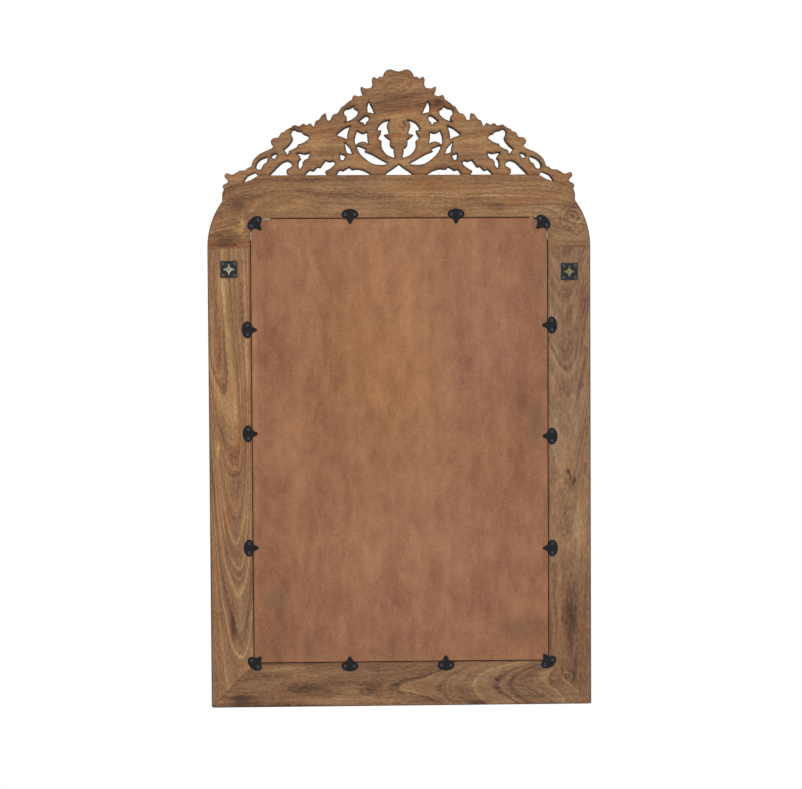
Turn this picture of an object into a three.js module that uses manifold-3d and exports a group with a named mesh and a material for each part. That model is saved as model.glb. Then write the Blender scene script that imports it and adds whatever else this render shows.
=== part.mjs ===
// Carved wall mirror: a boarded wooden frame with a pierced crest, a sheet of mirror glass
// and a backing board held from behind by sprung clips, hung on two keyhole plates.
// Millimetres. X runs to the right seen from the front, Y from the front to the wall, Z up.
// The origin is the middle of the bottom edge, half way through the frame's depth.

import * as THREE from 'three';
import { mergeVertices } from 'three/addons/utils/BufferGeometryUtils.js';
import Module from 'manifold-3d';

const wasm = await Module();
wasm.setup();

// Driving dimensions of the frame
const overallWidth = 914.4;
const overallHeight = 1524;
const frameDepth = 38;
const crestHeight = 250;
const crestDepth = 32;
const stileWidth = 101.6; // from the outer edge to the rebate
const bottomRailHeight = 106; // from the floor edge to the rebate
const topRailHeight = 102; // from the rebate to the edge that carries the crest
const topRailLobeDrop = 71; // how far the top rail reaches down past the rebate's top
const shoulderSetback = 37.2; // from the frame's side in to the crest's foot
const outerCornerRadius = 6;

// Rebate, window and the sheets in it
const rebateLap = 8;
const rebateDepth = 11;
const rebateCornerRadius = 44;
const glassThickness = 5;
const glassClearance = 1.5;
const boardThickness = 4;
const boardClearance = 2;

// Clearances
const jointGap = 0.3;
const seatGap = 0.3;
const cutOverrun = 10;

// Mouldings on the front face
const outerRoundOver = 4;
const coveWidth = 10;
const coveDepth = 12;
const outerBorderWidth = 16;
const innerBorderWidth = 20;
const fieldSink = 5;

// Joinery
const tenonThickness = 12;
const tenonSetIn = 11; // from the frame's front face to the tenon's cheek
const stileTenonWidth = 56;
const stileTenonLength = 36;
const mitreTenonHeight = 40;
const mitreTenonReach = 92; // from the window's edge out into the stile
const crestTenonWidth = 14;
const crestTenonThickness = 10;
const crestTenonLength = 22;
const crestTenonRoot = 6; // how far a tenon's block reaches up into the crest

// Clips
const clipThickness = 1.6;
const clipHalfLength = 20.2;
const clipBackReach = 13.4; // from the screw line out to the clip's back edge
const clipTongueReach = 22.4; // from the screw line in to the tongue's tip
const clipScrewSpacing = 22;
const clipSetback = 8; // from the rebate's edge out to the screw line

// Screws
const screwShankRadius = 1.5;
const screwShankLength = 13;
const screwPointLength = 3;
const screwHeadRadius = 3.7;
const screwHeadHeight = 2.2;
const screwRecessRadius = 1.3;
const screwRecessDepth = 1;
const holeClearance = 0.4;

// Hanger plates
const hangerPlateSize = 40;
const hangerPlateThickness = 2;
const hangerScrewSpacing = 28;
const hangerScrewHeadRadius = 3.5;
const hangerStarReach = 13.3;
const hangerPocketRadius = 14.5;
const hangerPocketDepth = 11;
const hangerPilotRadius = 1.2;
const hangerPilotDepth = 8;
const rightHangerDrop = 50.2; // from the stile's upper end down to the plate's middle
const leftHangerDrop = 59.2;

// Fineness of round forms
const spanSteps = 2;
const cornerSteps = 7;
const screwSides = 8;
const holeSides = 10;
const pocketSides = 24;

// Sizes that follow from the ones above
const halfWidth = overallWidth / 2;
const crestHalfWidth = halfWidth - shoulderSetback;
const railTop = overallHeight - crestHeight;
const rebateTop = railTop - topRailHeight;
const rebateHalfWidth = halfWidth - stileWidth;
const rebateHeight = rebateTop - bottomRailHeight;
const jointHeight = rebateTop - topRailLobeDrop;
const railHeight = railTop - jointHeight;
const windowHalfWidth = rebateHalfWidth - rebateLap;
const windowBottom = bottomRailHeight + rebateLap;
const backFace = frameDepth / 2;
const frontFace = -backFace;
const rebateFloor = backFace - rebateDepth;
const glassBack = rebateFloor + seatGap + glassThickness;
const boardBack = glassBack + seatGap + boardThickness;
const clipFace = backFace + seatGap + clipThickness;
const tenonFront = frontFace + tenonSetIn;
const tenonMiddle = tenonFront + tenonThickness / 2;

const wood = { color: 0x96704c, roughness: 0.75, metalness: 0 };
const finishes = {
  frameWood: new THREE.MeshStandardMaterial(wood),
  crestWood: new THREE.MeshStandardMaterial({ ...wood, color: 0x8f6a46 }),
  backingBoard: new THREE.MeshStandardMaterial({ color: 0xa57052, roughness: 0.9, metalness: 0 }),
  mirrorGlass: new THREE.MeshStandardMaterial({ color: 0xdfe6e8, roughness: 0.02, metalness: 1 }),
  blackSteel: new THREE.MeshStandardMaterial({ color: 0x26262a, roughness: 0.45, metalness: 0.7 }),
  screwSteel: new THREE.MeshStandardMaterial({ color: 0x3a3c44, roughness: 0.35, metalness: 0.9 }),
};

// Turns a closed geometry into a solid that can be cut and joined
function toSolid(geometry) {
  geometry.deleteAttribute('normal');
  geometry.deleteAttribute('uv');
  const merged = mergeVertices(geometry);
  const vertProperties = new Float32Array(merged.getAttribute('position').array);
  const triVerts = new Uint32Array(merged.getIndex().array);
  return new wasm.Manifold(new wasm.Mesh({ numProp: 3, vertProperties, triVerts }));
}

function toGeometry(solid) {
  const mesh = solid.getMesh();
  const geometry = new THREE.BufferGeometry();
  geometry.setAttribute('position', new THREE.BufferAttribute(mesh.vertProperties, mesh.numProp));
  geometry.setIndex(new THREE.BufferAttribute(mesh.triVerts, 1));
  geometry.computeVertexNormals();
  return geometry;
}

// A shape drawn in X and Z, given thickness along Y between two faces
function slab(shape, back, front) {
  const geometry = new THREE.ExtrudeGeometry(shape, {
    depth: back - front,
    bevelEnabled: false,
    curveSegments: cornerSteps,
  });
  geometry.rotateX(Math.PI / 2);
  geometry.translate(0, back, 0);
  return toSolid(geometry);
}

// A slab whose edges at both faces are rounded; grow is how far its middle stands out of the shape
function roundedSlab(shape, back, front, rounding) {
  const geometry = new THREE.ExtrudeGeometry(shape, {
    depth: back - front - 2 * rounding.depth,
    bevelEnabled: true,
    bevelThickness: rounding.depth,
    bevelSize: rounding.size,
    bevelOffset: rounding.grow - rounding.size,
    bevelSegments: 3,
    curveSegments: cornerSteps,
  });
  geometry.rotateX(Math.PI / 2);
  geometry.translate(0, back - rounding.depth, 0);
  return toSolid(geometry);
}

function block(x, y, z, width, depth, height) {
  const geometry = new THREE.BoxGeometry(width, depth, height);
  geometry.translate(x, y, z);
  return toSolid(geometry);
}

// A round hole's cutter along Y, from a face inwards
function drill(x, z, radius, face, bottom, sides) {
  const geometry = new THREE.CylinderGeometry(radius, radius, face - bottom, sides);
  geometry.translate(x, (face + bottom) / 2, z);
  return toSolid(geometry);
}

function mirrored(points) {
  return points.map((point) => new THREE.Vector2(-point.x, point.y)).reverse();
}

// Follows runs of points: each run is smooth, and the outline turns sharply between two runs
function trace(runs) {
  const outline = [runs[0][0]];
  for (const run of runs.slice(1)) {
    const through = [outline.at(-1), ...run].map((point) => new THREE.Vector3(point.x, point.y, 0));
    const steps = through.length > 2 ? spanSteps * (through.length - 1) : 1;
    const drawn = new THREE.CatmullRomCurve3(through).getPoints(steps).slice(1);
    outline.push(...drawn.map((point) => new THREE.Vector2(point.x, point.y)));
  }
  return outline;
}

// Crest outlines. Each point is a share of the crest's half width and of its height above the rail.
const fromShares = (runs) =>
  runs.map((run) =>
    run.map(([xShare, zShare]) =>
      new THREE.Vector2(xShare * crestHalfWidth, railTop + zShare * crestHeight)));

// The leafy outer edge of one half, from the foot up to the middle of the top
const crestEdgeShares = [
  [[0.993, -0.131]],
  [[1, -0.11], [0.992, -0.086], [0.97, -0.068]],
  [[0.971, -0.044], [0.985, -0.022], [0.988, 0], [0.977, 0.022], [0.962, 0.015]],
  [[0.948, 0.008], [0.936, 0.011]],
  [[0.919, 0.03], [0.9, 0.046], [0.87, 0.048]],
  [[0.86, 0.066], [0.838, 0.082]],
  [
    [0.833, 0.108], [0.823, 0.148], [0.802, 0.184], [0.776, 0.214],
    [0.74, 0.24], [0.719, 0.258], [0.71, 0.276],
  ],
  [[0.723, 0.3], [0.724, 0.328], [0.71, 0.352], [0.683, 0.357]],
  [[0.674, 0.38], [0.667, 0.402], [0.649, 0.411]],
  [[0.633, 0.434], [0.61, 0.452]],
  [[0.592, 0.476], [0.574, 0.468], [0.56, 0.464]],
  [[0.551, 0.48], [0.54, 0.488], [0.521, 0.472]],
  [[0.51, 0.485], [0.499, 0.491], [0.482, 0.458]],
  [[0.475, 0.488], [0.469, 0.514], [0.452, 0.524]],
  [[0.44, 0.554], [0.425, 0.579], [0.41, 0.584]],
  [[0.408, 0.548], [0.401, 0.519], [0.388, 0.522], [0.379, 0.554], [0.367, 0.577], [0.35, 0.582]],
  [[0.336, 0.61], [0.324, 0.644], [0.31, 0.656]],
  [[0.293, 0.683], [0.264, 0.716]],
  [[0.259, 0.742], [0.251, 0.757], [0.226, 0.746], [0.2, 0.762]],
  [[0.21, 0.792], [0.215, 0.824], [0.21, 0.837], [0.186, 0.82], [0.156, 0.826]],
  [[0.147, 0.86], [0.15, 0.904], [0.14, 0.93], [0.12, 0.912]],
  [[0.105, 0.932], [0.089, 0.929]],
  [[0.079, 0.97], [0.062, 0.995], [0.043, 1], [0.017, 0.986], [0, 0.98]],
];

// Openings that stand on the rail, so that the rail's edge closes them from below
const standingOpeningShares = {
  long: [
    [[0.155, 0]],
    [[0.169, 0.016], [0.19, 0.037], [0.229, 0.058], [0.264, 0.054]],
    [[0.274, 0.062], [0.282, 0.077]],
    [[0.295, 0.064], [0.318, 0.041]],
    [[0.331, 0.051], [0.34, 0.044], [0.357, 0]],
  ],
  fish: [
    [[0.406, 0]],
    [[0.414, 0.016], [0.417, 0.032], [0.408, 0.044]],
    [[0.386, 0.064], [0.364, 0.098]],
    [[0.363, 0.12], [0.373, 0.137]],
    [[0.393, 0.129], [0.415, 0.14]],
    [[0.427, 0.118], [0.444, 0.077]],
    [[0.452, 0.075], [0.462, 0.08]],
    [[0.474, 0.06], [0.487, 0.042], [0.506, 0.052]],
    [[0.521, 0.03], [0.536, 0]],
  ],
  drop: [
    [[0.629, 0]],
    [[0.637, 0.024], [0.633, 0.054], [0.606, 0.08]],
    [
      [0.607, 0.104], [0.618, 0.126], [0.635, 0.136], [0.66, 0.122],
      [0.683, 0.09], [0.71, 0.044], [0.736, 0],
    ],
  ],
  foot: [
    [[0.8, 0]],
    [[0.808, 0.016], [0.819, 0.026]],
    [[0.838, 0.012], [0.857, -0.004]],
    [[0.87, -0.032], [0.883, -0.068]],
  ],
};

// The opening in the middle, also on the rail: one half from its tip down
const middleOpeningShares = [
  [[0, 0.104]],
  [[0.017, 0.082], [0.033, 0.062], [0.057, 0.036], [0.086, 0]],
];

// Openings inside the fretwork
const innerOpeningShares = {
  slit: [
    [[0.168, 0.698]],
    [[0.177, 0.656], [0.175, 0.592]],
    [[0.157, 0.588], [0.135, 0.578]],
    [[0.146, 0.628], [0.168, 0.698]],
  ],
  pear: [
    [[0.306, 0.502]],
    [[0.295, 0.524], [0.295, 0.552]],
    [[0.306, 0.57], [0.31, 0.6], [0.301, 0.629], [0.283, 0.631]],
    [[0.268, 0.644], [0.254, 0.654]],
    [
      [0.251, 0.632], [0.238, 0.624], [0.23, 0.6], [0.235, 0.568],
      [0.255, 0.535], [0.279, 0.515], [0.306, 0.502],
    ],
  ],
  kite: [
    [[0.229, 0.508]],
    [[0.207, 0.54], [0.183, 0.565], [0.169, 0.552], [0.171, 0.512]],
    [[0.179, 0.506], [0.19, 0.472]],
    [[0.199, 0.493], [0.229, 0.508]],
  ],
  tulip: [
    [[0.048, 0.522]],
    [[0.081, 0.512], [0.106, 0.48], [0.124, 0.428]],
    [[0.112, 0.422], [0.098, 0.422]],
    [[0.104, 0.39], [0.114, 0.364], [0.114, 0.336]],
    [[0.105, 0.33], [0.097, 0.32]],
    [[0.098, 0.272], [0.086, 0.224], [0.06, 0.182], [0.021, 0.16]],
    [[0.026, 0.208], [0.029, 0.258]],
    [[0.04, 0.264], [0.049, 0.288], [0.048, 0.334]],
    [[0.064, 0.353], [0.083, 0.379]],
    [[0.071, 0.384], [0.055, 0.386]],
    [[0.058, 0.424], [0.066, 0.46], [0.062, 0.492], [0.048, 0.522]],
  ],
  triangle: [
    [[0.352, 0.388]],
    [[0.344, 0.372], [0.329, 0.363], [0.312, 0.352], [0.293, 0.338]],
    [[0.289, 0.396], [0.275, 0.468]],
    [[0.31, 0.445], [0.352, 0.388]],
  ],
  mask: [
    [[0.236, 0.422]],
    [[0.221, 0.407], [0.206, 0.398], [0.193, 0.401], [0.179, 0.41]],
    [[0.177, 0.36], [0.173, 0.296]],
    [[0.188, 0.309], [0.207, 0.314], [0.226, 0.305], [0.244, 0.286]],
    [[0.25, 0.32], [0.247, 0.368], [0.236, 0.422]],
  ],
  crescent: [
    [[0.242, 0.272]],
    [[0.23, 0.278], [0.21, 0.266], [0.188, 0.25]],
    [[0.188, 0.236], [0.194, 0.224]],
    [[0.157, 0.201], [0.119, 0.166], [0.093, 0.142], [0.064, 0.117]],
    [
      [0.067, 0.101], [0.1, 0.094], [0.133, 0.098], [0.16, 0.115],
      [0.19, 0.152], [0.219, 0.198], [0.242, 0.272],
    ],
  ],
  blade: [
    [[0.307, 0.312]],
    [[0.302, 0.264], [0.296, 0.214]],
    [[0.283, 0.203], [0.264, 0.202]],
    [[0.277, 0.26], [0.307, 0.312]],
  ],
  chip: [
    [[0.332, 0.204]],
    [[0.333, 0.172], [0.329, 0.14]],
    [[0.312, 0.141]],
    [[0.308, 0.162], [0.298, 0.18]],
    [[0.312, 0.194], [0.332, 0.204]],
  ],
  wedge: [
    [[0.725, 0.18]],
    [[0.714, 0.199], [0.69, 0.208]],
    [[0.693, 0.178], [0.704, 0.152]],
    [[0.714, 0.16], [0.725, 0.18]],
  ],
  bird: [
    [[0.631, 0.194]],
    [[0.624, 0.212], [0.621, 0.231]],
    [[0.6, 0.244], [0.577, 0.264]],
    [[0.573, 0.278], [0.569, 0.291]],
    [[0.545, 0.303], [0.529, 0.316]],
    [[0.521, 0.329], [0.51, 0.338]],
    [[0.51, 0.362], [0.52, 0.381], [0.538, 0.39]],
    [[0.549, 0.41], [0.562, 0.419], [0.576, 0.421]],
    [[0.593, 0.436], [0.606, 0.426], [0.611, 0.4], [0.608, 0.376]],
    [[0.601, 0.348], [0.612, 0.312], [0.629, 0.278], [0.652, 0.246]],
    [[0.643, 0.224], [0.631, 0.194]],
  ],
  cross: [
    [[0.579, 0.206]],
    [[0.562, 0.212], [0.538, 0.203]],
    [[0.519, 0.209], [0.505, 0.216]],
    [[0.506, 0.188], [0.515, 0.156]],
    [[0.533, 0.144], [0.545, 0.118]],
    [[0.546, 0.088], [0.562, 0.056]],
    [[0.571, 0.092], [0.567, 0.138], [0.556, 0.158]],
    [[0.563, 0.182], [0.579, 0.206]],
  ],
  slender: [
    [[0.75, 0.176]],
    [[0.743, 0.158], [0.746, 0.132], [0.752, 0.114]],
    [[0.764, 0.107], [0.772, 0.084], [0.779, 0.062], [0.79, 0.053], [0.805, 0.059], [0.811, 0.078]],
    [[0.806, 0.114], [0.786, 0.15], [0.75, 0.176]],
  ],
};

// The rail's top edge, from its end in to where it runs level, in the same shares
const railEdgeShares = [
  [[0.993, -0.131]],
  [[0.94, -0.098], [0.883, -0.069], [0.838, -0.042], [0.817, -0.02], [0.795, 0]],
];
const crestTenonShares = [0.12, 0.582, 0.767];

// The shoulder: shares of the crest's half width and of the rail's height above its joints
const shoulderTopShares = [1.0025, 0.642];
const shoulderBulgeShares = [1.0018, 0.735];
const shoulderPullShare = 0.36;

// Half of the frame's outer edge, from the bottom corner up to the end of the rail's top edge
function frameSide() {
  const foot = new THREE.Path();
  foot.moveTo(halfWidth - outerCornerRadius, 0);
  foot.absarc(halfWidth - outerCornerRadius, outerCornerRadius, outerCornerRadius, -Math.PI / 2, 0, false);
  const shoulderStart = new THREE.Vector2(halfWidth, jointHeight);
  const shoulderPull = new THREE.Vector2(halfWidth, jointHeight + shoulderPullShare * railHeight);
  const [topX, topZ] = shoulderTopShares;
  const [bulgeX, bulgeZ] = shoulderBulgeShares;
  const shoulderEnd = new THREE.Vector2(topX * crestHalfWidth, jointHeight + topZ * railHeight);
  const bulge = new THREE.Vector2(bulgeX * crestHalfWidth, jointHeight + bulgeZ * railHeight);
  const shoulder = new THREE.QuadraticBezierCurve(shoulderStart, shoulderPull, shoulderEnd);
  const railEnd = fromShares(railEdgeShares)[0][0];
  return [
    ...foot.getPoints(4),
    ...shoulder.getPoints(2 * cornerSteps),
    ...trace([[shoulderEnd], [bulge, railEnd]]).slice(1),
  ];
}

// The whole outer edge, with its upper side left high so that the rail's own top edge can cut it
function frameOutline() {
  const side = frameSide();
  const above = new THREE.Vector2(side.at(-1).x, overallHeight);
  const half = [...side, above];
  return new THREE.Shape([...half, ...mirrored(half)]);
}

// The outer edge drawn in by a border all round, with the rail's top edge on it
function borderOutline(border) {
  const edge = [...frameSide(), ...trace(fromShares(railEdgeShares)).slice(1)];
  const xShare = (halfWidth - border) / halfWidth;
  const zShare = (railTop - 2 * border) / railTop;
  const half = edge.map((point) => new THREE.Vector2(point.x * xShare, border + point.y * zShare));
  return new THREE.Shape([...half, ...mirrored(half)]);
}

// The window's outline, grown outwards by a distance on every side
function windowOutline(grow) {
  const side = windowHalfWidth + grow;
  const bottom = windowBottom - grow;
  const top = rebateTop - rebateLap + grow;
  const radius = rebateCornerRadius - rebateLap + grow;
  const shape = new THREE.Shape();
  shape.moveTo(-side, bottom);
  shape.lineTo(side, bottom);
  shape.absarc(side - radius, top - radius, radius, 0, Math.PI / 2, false);
  shape.absarc(radius - side, top - radius, radius, Math.PI / 2, Math.PI, false);
  return shape;
}

// The wood above a line is the crest, and the wood below it is the top rail
function railBlank(lift) {
  const railEdge = trace(fromShares(railEdgeShares));
  const end = railEdge[0];
  const lifted = railEdge.map((point) => new THREE.Vector2(point.x, point.y + lift));
  const half = [
    new THREE.Vector2(halfWidth, jointHeight),
    new THREE.Vector2(halfWidth, end.y + lift),
    ...lifted,
  ];
  return slab(new THREE.Shape([...half, ...mirrored(half)]), backFace, frontFace);
}

// Clip places: the screw line's middle, as shares of the rebate's half width and of its height
const topClipShares = { clip_top_1: -0.382, clip_top_2: 0.33 };
const bottomClipShares = { clip_bottom_1: -0.299, clip_bottom_2: 0.351 };
const leftClipShares = { clip_left_1: 0.758, clip_left_2: 0.508, clip_left_3: 0.255 };
const rightClipShares = { clip_right_1: 0.751, clip_right_2: 0.518, clip_right_3: 0.261 };
// Corner clips also have the direction, in degrees, that their backs face
const cornerClipShares = {
  clip_corner_top_right: [0.9682, 0.9894, 48],
  clip_corner_top_left: [-0.9682, 0.9894, 135],
  clip_corner_bottom_left: [-0.996, -0.0032, 238],
  clip_corner_bottom_right: [0.9928, -0.0005, 315],
};

function clipPlaces() {
  const places = [];
  for (const [name, xShare] of Object.entries(topClipShares)) {
    places.push({ name, x: xShare * rebateHalfWidth, z: rebateTop + clipSetback, facing: 90 });
  }
  for (const [name, xShare] of Object.entries(bottomClipShares)) {
    places.push({ name, x: xShare * rebateHalfWidth, z: bottomRailHeight - clipSetback, facing: 270 });
  }
  for (const [name, zShare] of Object.entries(leftClipShares)) {
    const z = bottomRailHeight + zShare * rebateHeight;
    places.push({ name, x: -rebateHalfWidth - clipSetback, z, facing: 180 });
  }
  for (const [name, zShare] of Object.entries(rightClipShares)) {
    const z = bottomRailHeight + zShare * rebateHeight;
    places.push({ name, x: rebateHalfWidth + clipSetback, z, facing: 0 });
  }
  for (const [name, [xShare, zShare, facing]] of Object.entries(cornerClipShares)) {
    places.push({ name, x: xShare * rebateHalfWidth, z: bottomRailHeight + zShare * rebateHeight, facing });
  }
  return places;
}

// A clip's own Z points out of the frame's middle, so its turn about Y follows its facing
const turnOf = (place) => THREE.MathUtils.degToRad(90 - place.facing);

function clipScrewPlaces(place) {
  const turn = turnOf(place);
  return [-1, 1].map((side) => {
    const reach = (side * clipScrewSpacing) / 2;
    return { x: place.x + reach * Math.cos(turn), z: place.z - reach * Math.sin(turn) };
  });
}

const hangerCentre = halfWidth - stileWidth / 2;
const hangerPlaces = [
  { name: 'left', x: -hangerCentre, z: jointHeight - leftHangerDrop },
  { name: 'right', x: hangerCentre, z: jointHeight - rightHangerDrop },
];

function hangerScrewPlaces(place) {
  const reach = hangerScrewSpacing / 2;
  const corners = [[-1, 1], [1, 1], [-1, -1], [1, -1]];
  return corners.map(([xSide, zSide]) => ({ x: place.x + xSide * reach, z: place.z + zSide * reach }));
}

// Where a screw's head seats, and how deep its pilot hole goes
const clipScrewSeat = clipFace + seatGap;
const pilotBottom = clipScrewSeat - screwShankLength - seatGap;
const hangerFace = backFace + seatGap + hangerPlateThickness;

// The four boards of the frame as one ring, before they are parted at their joints
function frameRing() {
  const roundOver = { depth: outerRoundOver, size: outerRoundOver, grow: 0 };
  const cove = { depth: coveDepth, size: coveWidth, grow: coveWidth };
  const behind = backFace + cutOverrun + outerRoundOver;
  const before = frontFace - cutOverrun - coveDepth;
  let ring = roundedSlab(frameOutline(), behind, frontFace, roundOver);
  ring = ring.subtract(slab(windowOutline(0), behind, before));
  ring = ring.subtract(roundedSlab(windowOutline(0), frontFace + coveDepth, before, cove));
  ring = ring.subtract(slab(windowOutline(rebateLap), behind, rebateFloor));
  const field = slab(borderOutline(outerBorderWidth), frontFace + fieldSink, before);
  ring = ring.subtract(field.subtract(slab(windowOutline(innerBorderWidth), behind, before)));
  const pilotRadius = screwShankRadius + holeClearance;
  const screws = [
    ...clipPlaces().flatMap(clipScrewPlaces),
    ...hangerPlaces.flatMap(hangerScrewPlaces),
  ];
  for (const { x, z } of screws) {
    ring = ring.subtract(drill(x, z, pilotRadius, behind, pilotBottom, screwSides));
  }
  const pocketFloor = backFace - hangerPocketDepth;
  for (const { x, z } of hangerPlaces) {
    ring = ring.subtract(drill(x, z, hangerPocketRadius, behind, pocketFloor, pocketSides));
    ring = ring.subtract(drill(x, z, hangerPilotRadius, behind, pocketFloor - hangerPilotDepth, screwSides));
  }
  return ring;
}

// Crest tenons stand in the rail, and the same block, grown by the gap, is its mortise
function crestTenons(gap) {
  const width = crestTenonWidth + 2 * gap;
  const depth = crestTenonThickness + 2 * gap;
  const length = crestTenonLength + crestTenonRoot + 2 * gap;
  const y = backFace - crestDepth / 2;
  const z = railTop + (crestTenonRoot - crestTenonLength) / 2;
  const places = crestTenonShares.flatMap((xShare) => [-xShare, xShare]);
  return places.map((xShare) => block(xShare * crestHalfWidth, y, z, width, depth, length));
}

// The tenon on top of a stile, and its mortise in the top rail
function stileTenon(side, gap) {
  const x = side * (halfWidth - stileWidth / 2);
  const z = jointHeight;
  const width = stileTenonWidth + 2 * gap;
  return block(x, tenonMiddle, z, width, tenonThickness + 2 * gap, 2 * (stileTenonLength + gap));
}

// The bottom rail's tenon that crosses the mitre, and its mortise in the stile
function mitreTenon(side, gap) {
  const start = windowHalfWidth - mitreTenonReach;
  const end = windowHalfWidth + mitreTenonReach + gap;
  const x = (side * (start + end)) / 2;
  const height = mitreTenonHeight + 2 * gap;
  return block(x, tenonMiddle, bottomRailHeight / 2, end - start, tenonThickness + 2 * gap, height);
}

function makeTopRail(ring) {
  let rail = ring.intersect(railBlank(0));
  for (const side of [-1, 1]) rail = rail.subtract(stileTenon(side, jointGap));
  for (const tenon of crestTenons(jointGap)) rail = rail.subtract(tenon);
  return rail;
}

function makeStile(ring, side) {
  const blank = new THREE.Shape([
    new THREE.Vector2(side * windowHalfWidth, windowBottom + jointGap),
    new THREE.Vector2(side * halfWidth, jointGap),
    new THREE.Vector2(side * halfWidth, jointHeight - jointGap),
    new THREE.Vector2(side * windowHalfWidth, jointHeight - jointGap),
  ]);
  const stile = ring.intersect(slab(blank, backFace, frontFace));
  return stile.add(stileTenon(side, 0)).subtract(mitreTenon(side, jointGap));
}

function makeBottomRail(ring) {
  const blank = new THREE.Shape([
    new THREE.Vector2(-halfWidth, 0),
    new THREE.Vector2(halfWidth, 0),
    new THREE.Vector2(windowHalfWidth, windowBottom),
    new THREE.Vector2(-windowHalfWidth, windowBottom),
  ]);
  const rail = ring.intersect(slab(blank, backFace, frontFace));
  return rail.add(mitreTenon(-1, 0)).add(mitreTenon(1, 0));
}

function makeCrest() {
  const back = backFace;
  const front = backFace - crestDepth;
  const half = trace(fromShares(crestEdgeShares));
  let crest = slab(new THREE.Shape([...half, ...mirrored(half).slice(1)]), back, front);
  const cut = (points) => {
    crest = crest.subtract(slab(new THREE.Shape(points), back + cutOverrun, front - cutOverrun));
  };
  for (const shares of Object.values(innerOpeningShares)) {
    const opening = trace(fromShares(shares)).slice(1);
    cut(opening);
    cut(mirrored(opening));
  }
  for (const shares of Object.values(standingOpeningShares)) {
    const opening = trace(fromShares(shares));
    const start = opening[0];
    const end = opening.at(-1);
    opening.push(new THREE.Vector2(end.x, end.y - cutOverrun));
    opening.push(new THREE.Vector2(start.x, end.y - cutOverrun));
    cut(opening);
    cut(mirrored(opening));
  }
  const middle = trace(fromShares(middleOpeningShares));
  middle.push(new THREE.Vector2(middle.at(-1).x, railTop - cutOverrun));
  cut([...middle, ...mirrored(middle).slice(0, -1)]);
  crest = crest.subtract(railBlank(jointGap));
  for (const tenon of crestTenons(0)) crest = crest.add(tenon);
  return crest;
}

// Clip outline: half an ellipse behind the screw line, then shares of half length and tongue reach
const clipShoulderShares = [[0.98, -0.1], [0.9, -0.24], [0.77, -0.33], [0.6, -0.39], [0.46, -0.46]];
const clipLipShares = [0.39, -0.535];
const clipNeckShares = { width: 0.24, start: -0.42 };
const clipTongueShares = [[0.39, -0.535], [0.28, -0.69], [0.2, -0.87], [0.13, -0.96], [0, -1]];

function clipHalf(shares) {
  return shares.map(([xShare, zShare]) =>
    new THREE.Vector2(xShare * clipHalfLength, zShare * clipTongueReach));
}

function makeClip() {
  const back = new THREE.EllipseCurve(0, 0, clipHalfLength, clipBackReach, Math.PI / 2, 0, true);
  const body = [...back.getPoints(cornerSteps), ...clipHalf([...clipShoulderShares, clipLipShares])];
  const tongue = clipHalf(clipTongueShares);
  const neckHalfWidth = clipNeckShares.width * clipHalfLength;
  const neckTop = clipNeckShares.start * clipTongueReach;
  const neckBottom = tongue[0].y;
  const neck = [
    new THREE.Vector2(-neckHalfWidth, neckBottom),
    new THREE.Vector2(neckHalfWidth, neckBottom),
    new THREE.Vector2(neckHalfWidth, neckTop),
    new THREE.Vector2(-neckHalfWidth, neckTop),
  ];
  const tongueFloor = boardBack + seatGap;
  const bodyPlate = slab(
    new THREE.Shape([...body, ...mirrored(body).slice(0, -1)]),
    clipFace,
    clipFace - clipThickness,
  );
  const tonguePlate = slab(
    new THREE.Shape([...tongue, ...mirrored(tongue).slice(1)]),
    tongueFloor + clipThickness,
    tongueFloor,
  );
  const riser = slab(new THREE.Shape(neck), clipFace, tongueFloor);
  const footing = block(
    0,
    (tongueFloor + clipFace) / 2,
    neckBottom,
    2 * neckHalfWidth,
    clipFace - tongueFloor,
    clipThickness,
  );
  let clip = bodyPlate.add(riser).add(footing).add(tonguePlate);
  const holeRadius = screwShankRadius + holeClearance;
  for (const side of [-1, 1]) {
    const x = (side * clipScrewSpacing) / 2;
    clip = clip.subtract(drill(x, 0, holeRadius, clipFace + cutOverrun, backFace, holeSides));
  }
  return toGeometry(clip);
}

function turned(profile) {
  return toGeometry(toSolid(new THREE.LatheGeometry(profile, screwSides)));
}

// A round-headed screw with its seat at height zero
function makeClipScrew() {
  const crownRadius = screwHeadRadius * Math.SQRT1_2;
  return turned([
    new THREE.Vector2(0, -screwShankLength),
    new THREE.Vector2(screwShankRadius, screwPointLength - screwShankLength),
    new THREE.Vector2(screwShankRadius, 0),
    new THREE.Vector2(screwHeadRadius, 0),
    new THREE.Vector2(screwHeadRadius, screwHeadHeight / 2),
    new THREE.Vector2(crownRadius, screwHeadHeight),
    new THREE.Vector2(screwRecessRadius, screwHeadHeight),
    new THREE.Vector2(0, screwHeadHeight - screwRecessDepth),
  ]);
}

// A countersunk screw with its head's face at height zero
function makeHangerScrew() {
  return turned([
    new THREE.Vector2(0, -screwShankLength),
    new THREE.Vector2(screwShankRadius, screwPointLength - screwShankLength),
    new THREE.Vector2(screwShankRadius, -hangerPlateThickness),
    new THREE.Vector2(hangerScrewHeadRadius, 0),
    new THREE.Vector2(screwRecessRadius, 0),
    new THREE.Vector2(0, -screwRecessDepth),
  ]);
}

// Keyhole star: shares of its reach, repeated for the four arms
const starArmShares = [[0.35, -0.35], [0.86, -0.18], [0.96, -0.12], [1, 0], [0.96, 0.12], [0.86, 0.18]];

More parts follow.
